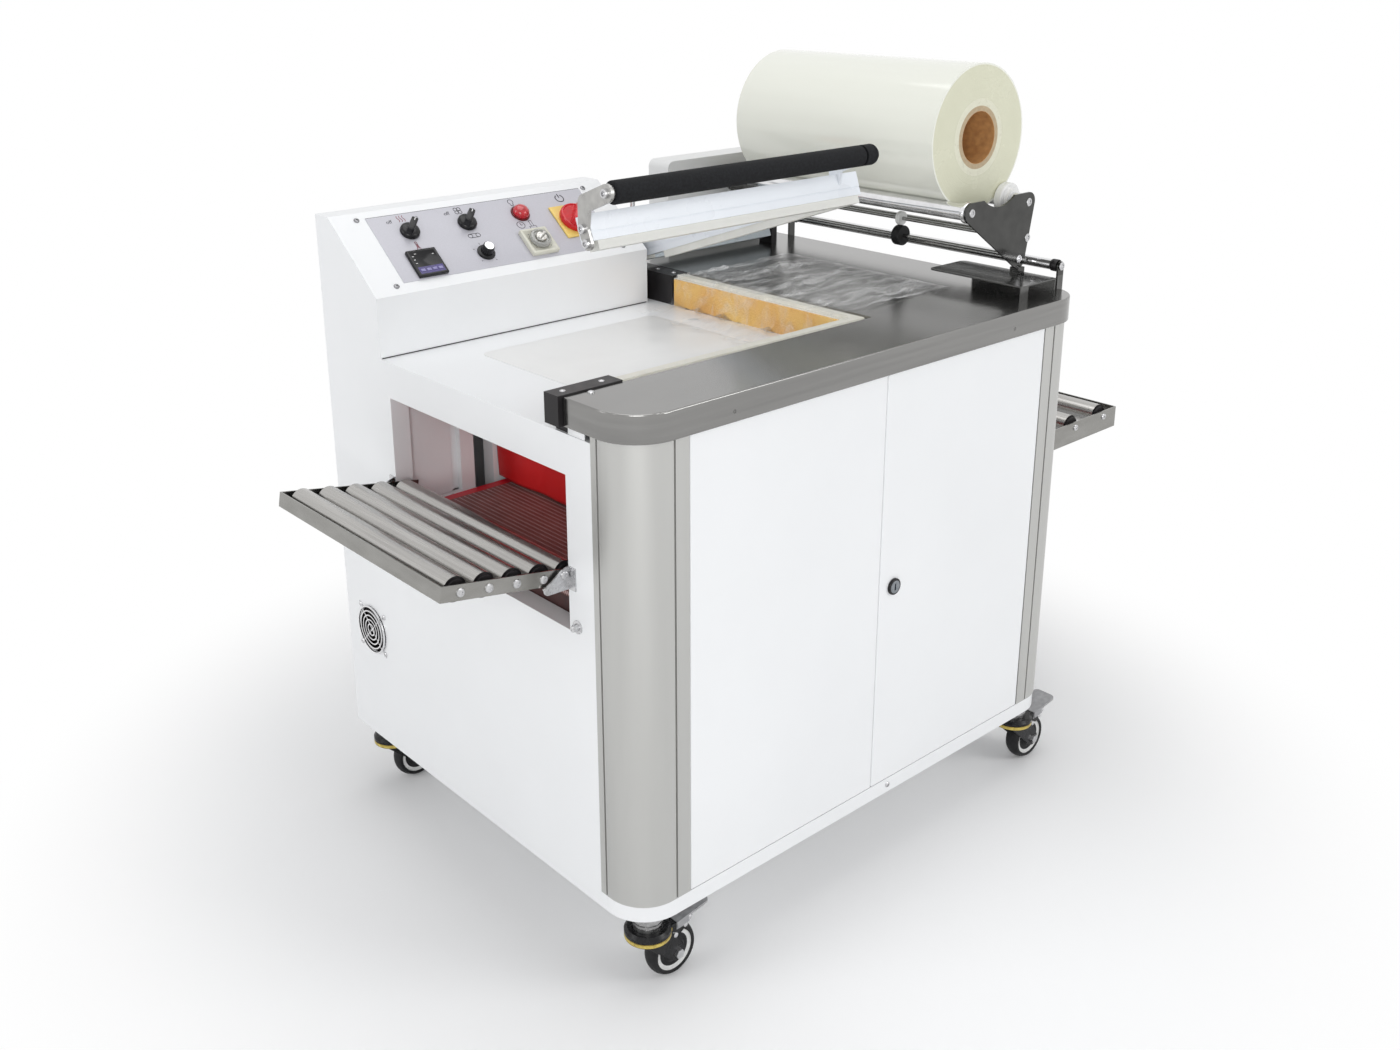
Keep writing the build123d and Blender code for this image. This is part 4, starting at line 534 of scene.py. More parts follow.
def recess(piece, steps):
    """Steps the top face of a block inwards and down: each step is an inset and a depth."""
    bpy.ops.object.select_all(action="DESELECT")
    piece.select_set(True)
    bpy.context.view_layer.objects.active = piece
    bpy.ops.object.mode_set(mode="EDIT")
    bpy.ops.mesh.select_mode(type="FACE")
    bpy.ops.mesh.select_all(action="DESELECT")
    shape = bmesh.from_edit_mesh(piece.data)
    top = max(face.calc_center_median().z for face in shape.faces)
    for face in shape.faces:
        flat = face.normal.z > 0.99 and face.calc_center_median().z > top - 0.00005
        face.select_set(flat and face.calc_area() > 0.0001)
    bmesh.update_edit_mesh(piece.data)
    for inset, depth in steps:
        bpy.ops.mesh.inset(thickness=inset, depth=depth)
    bpy.ops.object.mode_set(mode="OBJECT")
    return piece


panel_grey = dict(light=(0.555, 0.55, 0.60), dark=(0.525, 0.52, 0.565), grain=0.002, rough=(0.30, 0.38),
                  relief=0.03, fine=0.0008)
overlay = moulding("overlay", (0.384, 0.124, 0.0008), (0, 0, 0.0004), 0.00025, segments=2)
overlay.data.transform(on_slope(0.245, 0.080))
fit(overlay, "cabinet", material_of("overlay_finish", panel_grey))
edge_line = moulding("overlay_edge", (0.3835, 0.0006, 0.00012), (0, 0, 0.00086), 0.00003, segments=1)
edge_line.data.transform(on_slope(0.245, 0.1417))
ink = dict(light=(0.040, 0.040, 0.050), dark=(0.025, 0.025, 0.032), grain=0.004, rough=(0.4, 0.55),
           relief=0.02, fine=0.0006)
ink_finish = material_of("ink_finish", ink)
red_ink_finish = material_of("red_ink_finish",
                             dict(ink, light=(0.22, 0.020, 0.035), dark=(0.16, 0.014, 0.026)))
fit(edge_line, "cabinet", ink_finish)
panel_screws = [(0.0393, 0.1410), (0.0394, 0.0148), (0.4457, 0.1410), (0.4456, 0.0148)]
panel_screw_parts = []
for across, up in panel_screws:
    part = copies(screw_pattern, "panel_screw", [((0, 0, 0), (0, 0, 1))])
    part.data.transform(on_slope(across, up))
    panel_screw_parts.append(part)
# The panel screws are darkened all over: painted shade standing in for the shade in their sunk heads.
screw_recess_shade = dict(bright_steel, light=(0.30, 0.30, 0.31), dark=(0.20, 0.20, 0.21))
fit(joined(panel_screw_parts, "panel_screws"), "cabinet", material_of("panel_screw_painted_shade", screw_recess_shade))


def lines(name, runs, width=0.0011, height=0.00012):
    """Printed lines on the overlay, each a run of points, drawn flat and a hair high."""
    parts = []
    for points in runs:
        closed = points[0] == points[-1]
        bpy.ops.object.select_all(action="DESELECT")
        bpy.ops.curve.primitive_nurbs_path_add(location=(0, 0, 0))
        run = bpy.context.object
        run.data.splines.clear()
        spline = run.data.splines.new("POLY")
        drawn = points[:-1] if closed else points
        spline.points.add(len(drawn) - 1)
        for point, (x, y) in zip(spline.points, drawn):
            point.co = (x, y, 0, 1)
        spline.use_cyclic_u = closed
        run.data.dimensions = "2D"
        run.data.fill_mode = "NONE"
        run.data.extrude = height
        run.data.bevel_depth = 0.0
        run.data.offset = 0.0
        bpy.ops.object.convert(target="MESH")
        run.name = name
        bpy.ops.object.mode_set(mode="EDIT")
        bpy.ops.mesh.select_all(action="SELECT")
        bpy.ops.mesh.remove_doubles(threshold=0.000001)
        bpy.ops.object.mode_set(mode="OBJECT")
        wall = run.modifiers.new("width", "SOLIDIFY")
        wall.thickness = width
        wall.offset = 0
        bpy.ops.object.modifier_apply(modifier="width")
        parts.append(run)
    return joined(parts, name)


def ring_of(x, y, radius, count=20, start=0.0, sweep=2 * pi):
    """Points round a circle or along an arc."""
    if sweep >= 2 * pi - 0.001:
        points = [(x + radius * cos(start + 2 * pi * n / count),
                   y + radius * sin(start + 2 * pi * n / count))
                  for n in range(count)]
        return points + [points[0]]
    return [(x + radius * cos(start + sweep * n / count), y + radius * sin(start + sweep * n / count))
            for n in range(count + 1)]


def wave_of(x, y, height, reach, count=14):
    """Points along an upright wavy line, as steam is drawn."""
    return [(x + reach * sin(2 * pi * n / count),
             y - height / 2 + height * n / count) for n in range(count + 1)]


heat_mark = [wave_of(x, 0, 0.012, 0.0012) for x in (-0.0045, 0, 0.0045)]
fan_mark = [ring_of(0, 0, 0.0012, 8)] + [
    ring_of(0.0042 * cos(a), 0.0042 * sin(a), 0.0030, 12) for a in (pi / 4, 3 * pi / 4, 5 * pi / 4,
                                                                    7 * pi / 4)]
bulb_mark = [ring_of(0, 0.0022, 0.0045, 18, -pi / 3, 5 * pi / 3), [(-0.0022, -0.0020), (-0.0022, -0.0052)],
             [(0.0022, -0.0020), (0.0022, -0.0052)], [(-0.0022, -0.0052), (0.0022, -0.0052)]]
clock_mark = [ring_of(0, 0, 0.0066, 24), [(0, 0.0042), (0, 0)], [(0, 0), (0.0034, 0)]]
seal_mark = [[(-0.0058, -0.0078), (0.0058, -0.0078), (0.0058, -0.0034), (-0.0058, -0.0034),
              (-0.0058, -0.0078)],
             [(-0.0022, -0.0034), (-0.0022, 0.0078), (0.0022, 0.0078), (0.0022, -0.0034),
              (-0.0022, -0.0034)]]
belt_mark = [ring_of(-0.0068, 0, 0.0036, 16), ring_of(0.0068, 0, 0.0036, 16),
             [(-0.0068, 0.0036), (0.0068, 0.0036)],
             [(-0.0068, -0.0036), (0.0068, -0.0036)]]
heat_gauge_mark = [ring_of(0, -0.0058, 0.0028, 14, radians(120), radians(300)),
                   [(-0.0014, -0.0034), (-0.0014, 0.0062)],
                   [(0.0014, -0.0034), (0.0014, 0.0062)], ring_of(0, 0.0062, 0.0014, 8, 0, pi),
                   [(0, -0.0055), (0, 0.0035)]]
power_mark = [ring_of(0, 0, 0.0072, 24, radians(120), radians(300)), [(0, 0.0094), (0, 0.0014)]]
speed_mark = [[(0.0175 * cos(a), 0.0175 * sin(a)), (0.0197 * cos(a), 0.0197 * sin(a))]
              for a in (radians(147), radians(225), radians(304), radians(23), radians(95))]
for name, drawing, across, up, printed in (
    ("heat_mark", heat_mark, 0.1065, 0.1323, red_ink_finish),
    ("fan_mark", fan_mark, 0.2036, 0.1317, ink_finish),
    ("bulb_mark", bulb_mark, 0.3002, 0.1317, ink_finish),
    ("clock_mark", clock_mark, 0.2925, 0.0864, ink_finish),
    ("seal_mark", seal_mark, 0.3114, 0.0845, ink_finish),
    ("belt_mark", belt_mark, 0.2049, 0.0808, ink_finish),
    ("heat_gauge_mark", heat_gauge_mark, 0.1066, 0.0787, red_ink_finish),
    ("power_mark", power_mark, 0.3900, 0.1269, ink_finish),
    ("speed_mark", speed_mark, 0.2055, 0.0455, ink_finish),
):
    mark = lines(name, drawing, width=0.0016 if name == "power_mark" else 0.0009)
    mark.data.transform(on_slope(across, up, 0.0009))
    fit(mark, "cabinet", printed)
for name, word, across, up in (("off_mark_left", "off", 0.0806, 0.1262),
                               ("on_mark_left", "on", 0.1250, 0.1283),
                               ("off_mark_right", "off", 0.1779, 0.1266), ("on_mark_right", "on", 0.2231,
                                                                           0.1278)):
    bpy.ops.object.select_all(action="DESELECT")
    bpy.ops.object.text_add(location=(0, 0, 0))
    mark = bpy.context.object
    mark.data.body = word
    mark.data.size = 0.0092
    mark.data.extrude = 0.00008
    mark.name = name
    bpy.ops.object.convert(target="MESH")
    mark.data.transform(on_slope(across, up, 0.0009))
    fit(mark, "cabinet", ink_finish)

# Heater and blower switches: black moulded knobs with a bar grip and a white pointer line, turned
# a quarter between off and on. Each is fixed to a spindle that comes through the panel.
knob_black = dict(light=(0.013, 0.013, 0.015), dark=(0.008, 0.008, 0.009), grain=0.01, rough=(0.18, 0.28),
                  relief=0.03, fine=0.0008, more=(("Specular IOR Level", 0.28),))
knob_finish = material_of("knob_finish", knob_black)
pointer_white = material_of("pointer_white",
                            dict(pale_ring, light=(0.82, 0.82, 0.82), dark=(0.76, 0.76, 0.76)))
for name, across, up in (("heater_switch", 0.1075, 0.1055), ("blower_switch", 0.2055, 0.1055)):
    skirt = turned(f"{name}_skirt", [(0, 0.0146), (0.0012, 0.0150), (0.0048, 0.0146), (0.0066, 0.0134),
                                     (0.0080, 0.0112), (0.0084, 0.0060)], vertices=48)
    grip = moulding(f"{name}_grip", (0.0108, 0.0290, 0.0126), (0, 0, 0.0137), 0.0016, taper=0.90)
    grip.data.transform(Matrix.Rotation(radians(-42), 4, "Z"))
    knob = joined([skirt, grip], f"{name}_knob")
    knob.data.transform(on_slope(across, up, 0.0011))
    fit(knob, name, knob_finish)
    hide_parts(name)
    pointer = moulding(f"{name}_pointer", (0.0013, 0.0060, 0.0004), (0, 0.0088, 0.0201), 0.0001, segments=1)
    pointer.data.transform(on_slope(across, up, 0.0011) @ Matrix.Rotation(radians(-42), 4, "Z"))
    fit(pointer, name, pointer_white)

# Belt speed knob: a black fluted knob with a bright metal cap let into its top.
bpy.ops.object.select_all(action="DESELECT")
bpy.ops.mesh.primitive_circle_add(vertices=72, radius=0.0096, fill_type="NGON", location=(0, 0, 0.004))
fluted = bpy.context.object
fluted.name = "speed_knob_body"
bpy.ops.object.transform_apply(location=True)
bpy.ops.object.mode_set(mode="EDIT")
bpy.ops.mesh.select_mode(type="VERT")
bpy.ops.mesh.select_all(action="DESELECT")
shape = bmesh.from_edit_mesh(fluted.data)
for point in shape.verts:
    part = round(72 * (atan2(point.co.y, point.co.x) / (2 * pi))) % 4
    point.select_set(part == 0)
bmesh.update_edit_mesh(fluted.data)
bpy.ops.transform.resize(value=(0.92, 0.92, 1), center_override=(0, 0, 0.004))
bpy.ops.mesh.select_all(action="SELECT")
bpy.ops.mesh.extrude_region_move(TRANSFORM_OT_translate={"value": (0, 0, 0.0110)})
bpy.ops.transform.resize(value=(0.90, 0.90, 1), center_override=(0, 0, 0.015))
bpy.ops.mesh.extrude_region_move(TRANSFORM_OT_translate={"value": (0, 0, 0.0008)})
bpy.ops.transform.resize(value=(0.92, 0.92, 1), center_override=(0, 0, 0.0158))
bpy.ops.mesh.select_all(action="SELECT")
bpy.ops.mesh.normals_make_consistent(inside=False)
bpy.ops.object.mode_set(mode="OBJECT")
bpy.ops.object.shade_smooth_by_angle(angle=radians(30))
skirt = turned("speed_knob_skirt", [(0, 0.0136), (0.0010, 0.0140), (0.0028, 0.0136), (0.0040, 0.0112),
                                    (0.0044, 0.0070)], vertices=48)
knob = joined([skirt, fluted], "speed_knob_grip")
knob.data.transform(on_slope(0.2055, 0.0455, 0.0011))
fit(knob, "speed_knob", knob_finish)
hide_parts("speed_knob")
cap = turned("speed_knob_cap", [(0.0150, 0.0074), (0.0160, 0.0074), (0.0164, 0.0070), (0.0164, 0.0052),
                                (0.0160, 0.0048), (0.0160, 0.0008)], vertices=40)
cap.data.transform(on_slope(0.2055, 0.0455, 0.0011))
chrome = dict(light=(0.80, 0.80, 0.81), dark=(0.70, 0.70, 0.71), grain=0.02, rough=(0.06, 0.14),
              metallic=1.0)
fit(cap, "speed_knob", material_of("cap_metal", dict(chrome, rough=(0.16, 0.26))))

# Pilot lamp: a domed red lens in a dark ring.
lamp_ring = turned("lamp_ring", [(0, 0.0154), (0.0016, 0.0154), (0.0026, 0.0148), (0.0028, 0.0136),
                                 (0.0016, 0.0132)], vertices=48)
lamp_ring.data.transform(on_slope(0.3040, 0.1085, 0.0008))
fit(lamp_ring, "cabinet", material_of("lamp_ring_finish", dict(knob_black, light=(0.16, 0.012, 0.016),
                                                               dark=(0.10, 0.008, 0.010))))
lens = turned("lamp_lens",
              [(0.0012, 0.0131), (0.0040, 0.0131), (0.0070, 0.0126), (0.0098, 0.0112), (0.0120, 0.0086),
                            (0.0134, 0.0052), (0.0140, 0.0016)], vertices=48)
lens.data.transform(on_slope(0.3040, 0.1085, 0.0008))
lens_red = dict(light=(0.58, 0.006, 0.018), dark=(0.40, 0.003, 0.010), grain=0.006, rough=(0.08, 0.16),
                relief=0.10, fine=0.0020, more=(("Coat Weight", 0.6), ("Coat Roughness", 0.05)))
fit(lens, "cabinet", material_of("lens_finish", lens_red))

# Temperature controller: a black square bezel with a sunk display, four keys on a violet strip and
# small white marks beside the display.
controller = recess(moulding("controller", (0.048, 0.048, 0.006), (0, 0, 0.003), 0.0012),
                    ((0.0022, 0.0), (0.0006, -0.0007)))
controller.data.transform(on_slope(0.1030, 0.0440, 0.0008))
fit(controller, "cabinet", material_of("controller_finish", dict(knob_black, rough=(0.12, 0.2))))
strip = moulding("controller_strip", (0.0416, 0.0125, 0.0004), (0, -0.0142, 0.0055), 0.0001, segments=1)
violet = dict(light=(0.050, 0.032, 0.20), dark=(0.032, 0.020, 0.14), grain=0.01, rough=(0.2, 0.3))
strip.data.transform(on_slope(0.1030, 0.0440, 0.0008))
fit(strip, "cabinet", material_of("violet_finish", violet))
key_parts = []
for n in range(4):
    key = moulding("controller_key", (0.0066, 0.0044, 0.0008), (-0.0144 + 0.0096 * n, -0.0142, 0.0061),
                   0.0003)
    key.data.transform(on_slope(0.1030, 0.0440, 0.0008))
    key_parts.append(key)
key_grey = dict(light=(0.30, 0.28, 0.52), dark=(0.22, 0.20, 0.42), grain=0.004, rough=(0.3, 0.4))
fit(joined(key_parts, "controller_keys"), "cabinet", material_of("key_finish", key_grey))
dot_parts = []
for x, y in ((-0.0175, 0.0125), (-0.0175, 0.0060), (-0.0175, -0.0005), (-0.0120, 0.0165), (0.0155, 0.0125)):
    dot = moulding("controller_dot", (0.0030, 0.0011, 0.0003), (x, y, 0.00545), 0.0001, segments=1)
    dot.data.transform(on_slope(0.1030, 0.0440, 0.0008))
    dot_parts.append(dot)
fit(joined(dot_parts, "controller_dots"), "cabinet", pointer_white)

# Seal timer: a cream square body with a sunk scale, and a clear round dial with a bright knob in it.
timer = recess(moulding("timer_body", (0.048, 0.048, 0.008), (0, 0, 0.004), 0.0014),
               ((0.0026, 0.0), (0.0005, -0.0010)))
timer.data.transform(on_slope(0.3015, 0.0475, 0.0008))
timer_cream = dict(light=(0.70, 0.69, 0.60), dark=(0.64, 0.63, 0.54), grain=0.01, rough=(0.35, 0.45),
                   relief=0.04)
fit(timer, "cabinet", material_of("timer_finish", timer_cream))
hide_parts("panel_fittings")
scale_marks = [[(0.0182 * cos(a), 0.0182 * sin(a)), (0.0200 * cos(a), 0.0200 * sin(a))]
               for a in (radians(-45 + 30 * n) for n in range(10))]
scale_marks += [[(x, -0.0206), (x + 0.0026, -0.0206)] for x in (-0.0110, -0.0060, -0.0020, 0.0040, 0.0080)]
timer_scale = lines("timer_scale", scale_marks, width=0.0007)
timer_scale.data.transform(on_slope(0.3015, 0.0475, 0.0079))
fit(timer_scale, "cabinet", ink_finish)
dial = turned("timer_dial_ring", [(0, 0.0168), (0.0046, 0.0166), (0.0058, 0.0158), (0.0060, 0.0130),
                                  (0.0036, 0.0122), (0.0034, 0.0080)], vertices=48)
dial.data.transform(on_slope(0.3015, 0.0475, 0.0091))
dial_clear = dict(light=(0.62, 0.62, 0.59), dark=(0.50, 0.50, 0.47), grain=0.006, rough=(0.06, 0.12),
                  relief=0.04,
                  fine=0.001, more=(("Transmission Weight", 0.45), ("Coat Weight", 0.5)))
fit(dial, "timer_dial", material_of("dial_finish", dial_clear))
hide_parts("timer_dial")
dial_knob = turned("timer_dial_knob",
                   [(0.0030, 0.0092), (0.0070, 0.0088), (0.0082, 0.0080), (0.0084, 0.0030)],
                   vertices=36)
dial_bar = moulding("timer_dial_bar", (0.0054, 0.0236, 0.0050), (0, 0, 0.0095), 0.0009, taper=0.86)
dial_bar.data.transform(Matrix.Rotation(radians(-60), 4, "Z"))
dial_grip = joined([dial_knob, dial_bar], "timer_dial_grip")
dial_grip.data.transform(on_slope(0.3015, 0.0475, 0.0091))
fit(dial_grip, "timer_dial",
    material_of("dial_metal", dict(chrome, light=(0.66, 0.65, 0.62), dark=(0.36, 0.35, 0.33),
                                                           grain=0.004, rough=(0.14, 0.3))))

# Main switch: a yellow square plate, a round red handle with a bar across it, and a small black
# square below where a padlock goes through.
yellow = dict(light=(0.84, 0.62, 0.17), dark=(0.78, 0.55, 0.13), grain=0.02, rough=(0.25, 0.35),
              relief=0.03)
switch_plate = moulding("switch_plate", (0.064, 0.064, 0.0030), (0, 0, 0.0015), 0.0010)
switch_plate.data.transform(on_slope(0.3895, 0.0780, 0.0008))
fit(switch_plate, "cabinet", material_of("yellow_finish", yellow))
handle_red = dict(light=(0.66, 0.012, 0.022), dark=(0.56, 0.008, 0.014), grain=0.02, rough=(0.2, 0.3),
                  relief=0.03, fine=0.001)
wheel = turned("main_switch_disc",
               [(0, 0.0262), (0.0016, 0.0270), (0.0074, 0.0268), (0.0094, 0.0256), (0.0100, 0.0236),
                                    (0.0088, 0.0222), (0.0086, 0.0100)], vertices=64)
bar = moulding("main_switch_bar", (0.0150, 0.0505, 0.0150), (0, 0, 0.0163), 0.0026, taper=0.84)
bar.data.transform(Matrix.Rotation(radians(-42), 4, "Z"))
handle = joined([wheel, bar], "main_switch_handle")
handle.data.transform(on_slope(0.3895, 0.0780, 0.0041))
fit(handle, "main_switch", material_of("switch_red", handle_red))
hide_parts("main_switch")
handle_line = moulding("main_switch_line", (0.0024, 0.0150, 0.0004), (0, 0.0140, 0.0239), 0.0001,
                       segments=1)
handle_line.data.transform(on_slope(0.3895, 0.0780, 0.0041) @ Matrix.Rotation(radians(-42), 4, "Z"))
fit(handle_line, "main_switch", pointer_white)
lock_eye = recess(moulding("padlock_eye", (0.0105, 0.0085, 0.0050), (0.0020, -0.0258, 0.0055), 0.0008),
                  ((0.0018, 0.0), (0.0003, -0.0020)))
lock_eye.data.transform(on_slope(0.3895, 0.0780, 0.0008) @ Matrix.Rotation(radians(0), 4, "Z"))
fit(lock_eye, "cabinet", knob_finish)

# Closing strips: white folded sheet behind the slots beside the tunnel's covers and between the wall
# and the worktop's end, riveted in place. A thin dark strip under the control box's front is painted shade for the
# shaded gap there.
mouth_strips = [moulding("mouth_strip", (0.0150, 0.0012, 0.160), (side * 0.331, y, 0.496), 0.0004,
                         segments=2)
                for side in (-1, 1) for y in (0.1868, -0.2388)]
fit(joined(mouth_strips, "mouth_strips"), "cabinet", white_paint)
wall_top_strip = moulding("wall_top_strip", (0.0016, 0.0315, 0.0106), (-0.4336, -0.2482, 0.6385), 0.0004,
                          segments=2)
fit(wall_top_strip, "cabinet", white_paint)
# Painted shade: a thin dark strip along the control box's front edge, where the gap under it lies in shade.
box_gap_shade = moulding("box_gap_shade", (0.4800, 0.0012, 0.0012), (-0.1925, 0.1920, 0.6337), 0.0003, segments=2)
fit(box_gap_shade, "cabinet", end_block_finish)

# Curtains: red silicone coated cloth hung inside each end of the hood from a folded strip. Each
# hangs nearly flat and waves a little towards its free lower edge.
silicone_red = dict(light=(0.62, 0.012, 0.014), dark=(0.54, 0.009, 0.011), grain=0.10, rough=(0.34, 0.44),
                    relief=0.03, fine=0.002)
curtain_finish = material_of("curtain_finish", silicone_red)
curtain_low, curtain_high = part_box("curtains")
for name, side in (("curtain_exit", -1), ("curtain_infeed", 1)):
    width = curtain_high.y - curtain_low.y
    height = curtain_high.z - curtain_low.z
    bpy.ops.object.select_all(action="DESELECT")
    bpy.ops.mesh.primitive_grid_add(x_subdivisions=88, y_subdivisions=36, size=1, location=(0, 0, 0))
    hanging = bpy.context.object
    hanging.name = name
    outer = curtain_high.x - 0.0015 if side > 0 else curtain_low.x + 0.0015
    for point in hanging.data.vertices:
        along = point.co.x * width
        down = 0.5 - point.co.y
        wave = 0.0020 * down * sin(along * 34 + 0.6 * side) + 0.0012 * down * sin(along * 71 + 1.0)
        point.co = (outer - side * (0.0006 + 0.0040 * down * down) + wave,
                    (curtain_low.y + curtain_high.y) / 2 + along, curtain_high.z - down * height)
    cloth = hanging.modifiers.new("cloth", "SOLIDIFY")
    cloth.thickness = 0.0009
    cloth.offset = 0
    bpy.ops.object.modifier_apply(modifier="cloth")
    bpy.ops.object.mode_set(mode="EDIT")
    bpy.ops.mesh.select_all(action="SELECT")
    bpy.ops.mesh.normals_make_consistent(inside=False)
    bpy.ops.object.mode_set(mode="OBJECT")
    bpy.ops.object.shade_smooth()
    fit(hanging, "cabinet", curtain_finish)
    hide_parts("curtains")

# Conveyor: zinc plated bearers, rails and gear motor, turned drums, and an open mesh belt of coated
# glass cord, brown with painted highlights on its crossings and painted shade in its gaps and on its lower run, and
# a red edge tape.
zinc = dict(light=(0.36, 0.37, 0.39), dark=(0.26, 0.27, 0.285), grain=0.015, rough=(0.35, 0.5),
            relief=0.1, fine=0.001, metallic=0.7)
zinc_finish = material_of("zinc_finish", zinc)
paint(zinc_finish, "blower_unit", "impeller", "drive_drum", "idler_drum")
paint(material_of("conveyor_finish", zinc, (white_coat, [("z", 0.40, 0.45)])), "conveyor_frame")
belt_finish = bpy.data.materials.new("belt_finish")
belt_finish.use_nodes = True
weave = belt_finish.node_tree
weave.nodes.remove(weave.nodes["Principled BSDF"])
cord_brown = dict(light=(0.36, 0.16, 0.15), dark=(0.24, 0.095, 0.088), grain=0.03, rough=(0.45, 0.6),
                  relief=0.3, fine=0.0012)
painted_shade_dark = dict(light=(0.075, 0.028, 0.026), dark=(0.045, 0.016, 0.015), grain=0.01, rough=(0.6, 0.7))
crossing_glint = dict(light=(0.78, 0.62, 0.60), dark=(0.56, 0.40, 0.38), grain=0.02, rough=(0.4, 0.5))
belt_place = weave.nodes.new("ShaderNodeTexCoord")
belt_split = weave.nodes.new("ShaderNodeSeparateXYZ")
weave.links.new(belt_place.outputs["Object"], belt_split.inputs[0])


def every(pitch, axis, shift=0.0):
    """A rise and fall from 0 to 1 and back over each pitch along an axis."""
    step = weave.nodes.new("ShaderNodeMath")
    step.operation = "PINGPONG"
    step.inputs[1].default_value = pitch / 2
    moved = weave.nodes.new("ShaderNodeMath")
    moved.operation = "ADD"
    moved.inputs[1].default_value = 1.0 + shift
    weave.links.new(belt_split.outputs[axis], moved.inputs[0])
    weave.links.new(moved.outputs[0], step.inputs[0])
    scaled = weave.nodes.new("ShaderNodeMath")
    scaled.operation = "MULTIPLY"
    scaled.inputs[1].default_value = 2 / pitch
    weave.links.new(step.outputs[0], scaled.inputs[0])
    return scaled.outputs[0]


def past(value, limit):
    """1 where a value is over a limit."""
    test = weave.nodes.new("ShaderNodeMath")
    test.operation = "GREATER_THAN"
    weave.links.new(value, test.inputs[0])
    test.inputs[1].default_value = limit
    return test.outputs[0]


def both_of(first, second, operation="MULTIPLY"):
    """Two tests taken together."""
    total = weave.nodes.new("ShaderNodeMath")
    total.operation = operation
    weave.links.new(first, total.inputs[0])
    weave.links.new(second, total.inputs[1])
    return total.outputs[0]


def over(under, finish, test):
    """A finish laid over what is under it where a test holds."""
    laid = weave.nodes.new("ShaderNodeMixShader")
    weave.links.new(test, laid.inputs["Fac"])
    weave.links.new(under, laid.inputs[1])
    weave.links.new(dress(weave, **finish).outputs["BSDF"], laid.inputs[2])
    return laid.outputs[0]


# The gaps between cords are painted dark: painted shade from the tunnel seen through the open mesh.
gaps = both_of(past(every(0.0027, 0), 0.50), past(every(0.0036, 1), 0.50))
# The crossings are painted pale pink: painted highlights where the cords catch the light.
knots = both_of(past(every(0.0081, 0, 0.00405), 0.78), past(every(0.0036, 1, 0.0018), 0.34))
woven = over(dress(weave, **cord_brown).outputs["BSDF"], painted_shade_dark, gaps)
woven = over(woven, crossing_glint, knots)
tape_red = dict(light=(0.72, 0.012, 0.035), dark=(0.60, 0.008, 0.022), grain=0.05, rough=(0.35, 0.45),
                relief=0.05, fine=0.002)
woven = over(woven, tape_red, zone(weave, [("y", -0.3, -0.196)]))
woven = over(woven, tape_red, zone(weave, [("y", 0.144, 0.3)]))
# The belt's lower run is painted the same dark all over: painted shade under the upper run.
woven = over(woven, painted_shade_dark, zone(weave, [("z", 0.0, 0.395)]))
weave.links.new(woven, weave.nodes["Material Output"].inputs["Surface"])
paint(belt_finish, "conveyor_belt")

# Trays: folded stainless frames with fixed axles, bolted through the rails. The rollers are satin
# steel tubes with black end caps that turn on the axles.
rail_steel = dict(light=(0.32, 0.315, 0.30), dark=(0.27, 0.265, 0.25), grain=0.015, rough=(0.20, 0.27),
                  relief=0.03, fine=0.0007, stretch=(0.3, 0.3, 1), metallic=0.95)
paint(material_of("tray_finish", rail_steel), "exit_tray", "infeed_tray")
tube_satin = dict(light=(0.48, 0.47, 0.455), dark=(0.40, 0.39, 0.375), grain=0.004, rough=(0.22, 0.30),
                  relief=0.03, fine=0.0008, stretch=(1, 0.03, 1), metallic=0.95)
roller_finish = material_of("roller_finish", tube_satin,
                            (moulded_black, [("y", -0.3, -0.2109)]),
                            (moulded_black, [("y", 0.1589, 0.3)]))
paint(roller_finish, *[f"exit_roller_{n}" for n in range(1, 6)],
      *[f"infeed_roller_{n}" for n in range(1, 5)])
rail_bolt_pattern = turned("rail_bolt_pattern",
                           [(0, 0.0058), (0.0008, 0.0058), (0.0020, 0.0050), (0.0026, 0.0034),
                                                 (0.0026, 0.0022), (0.0014, 0.0020)], vertices=24)
for tray, rollers in (("exit_tray", 5), ("infeed_tray", 4)):
    places = []
    for number in range(1, rollers + 1):
        low_corner, high_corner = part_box(f"{tray.replace('_tray', '_roller')}_{number}")
        centre = (low_corner + high_corner) / 2
        places.append(((centre.x, -0.223, centre.z), (0, -1, 0)))
        places.append(((centre.x, 0.171, centre.z), (0, 1, 0)))
    fit(copies(rail_bolt_pattern, f"{tray}_bolts", places), tray, steel)
pin_places = []
for side, height in ((-1, 0.454), (1, 0.388)):
    pin_places.append(((side * 0.443, -0.2290, height), (0, -1, 0)))
    pin_places.append(((side * 0.443, 0.1770, height), (0, 1, 0)))
fit(copies(rail_bolt_pattern, "tray_pin_heads", pin_places), "cabinet", steel)
washer_pattern = turned("washer_pattern",
                        [(0, 0.0088), (0.0014, 0.0088), (0.0016, 0.0084), (0.0016, 0.0050),
                                           (0.0060, 0.0046), (0.0090, 0.0040), (0.0096,
                                                                                0.0030)], vertices=28)
fit(copies(washer_pattern, "stop_bolts",
           [((-0.435, -0.2417, 0.3866), (-1, 0, 0)), ((-0.435, 0.1897, 0.3866), (-1, 0, 0))]),
    "cabinet", steel)

# Cooling fan: a black frame behind the wall, a black rotor, and a plated wire guard outside.
fan_chrome = dict(light=(0.82, 0.82, 0.83), dark=(0.70, 0.70, 0.71), grain=0.02, rough=(0.14, 0.22),
                  metallic=1.0)
paint(material_of("fan_frame_finish", moulded_black, (fan_chrome, [("x", -0.5, -0.4349)])), "fan_housing")
paint(material_of("fan_blade_finish", moulded_black), "fan_rotor")
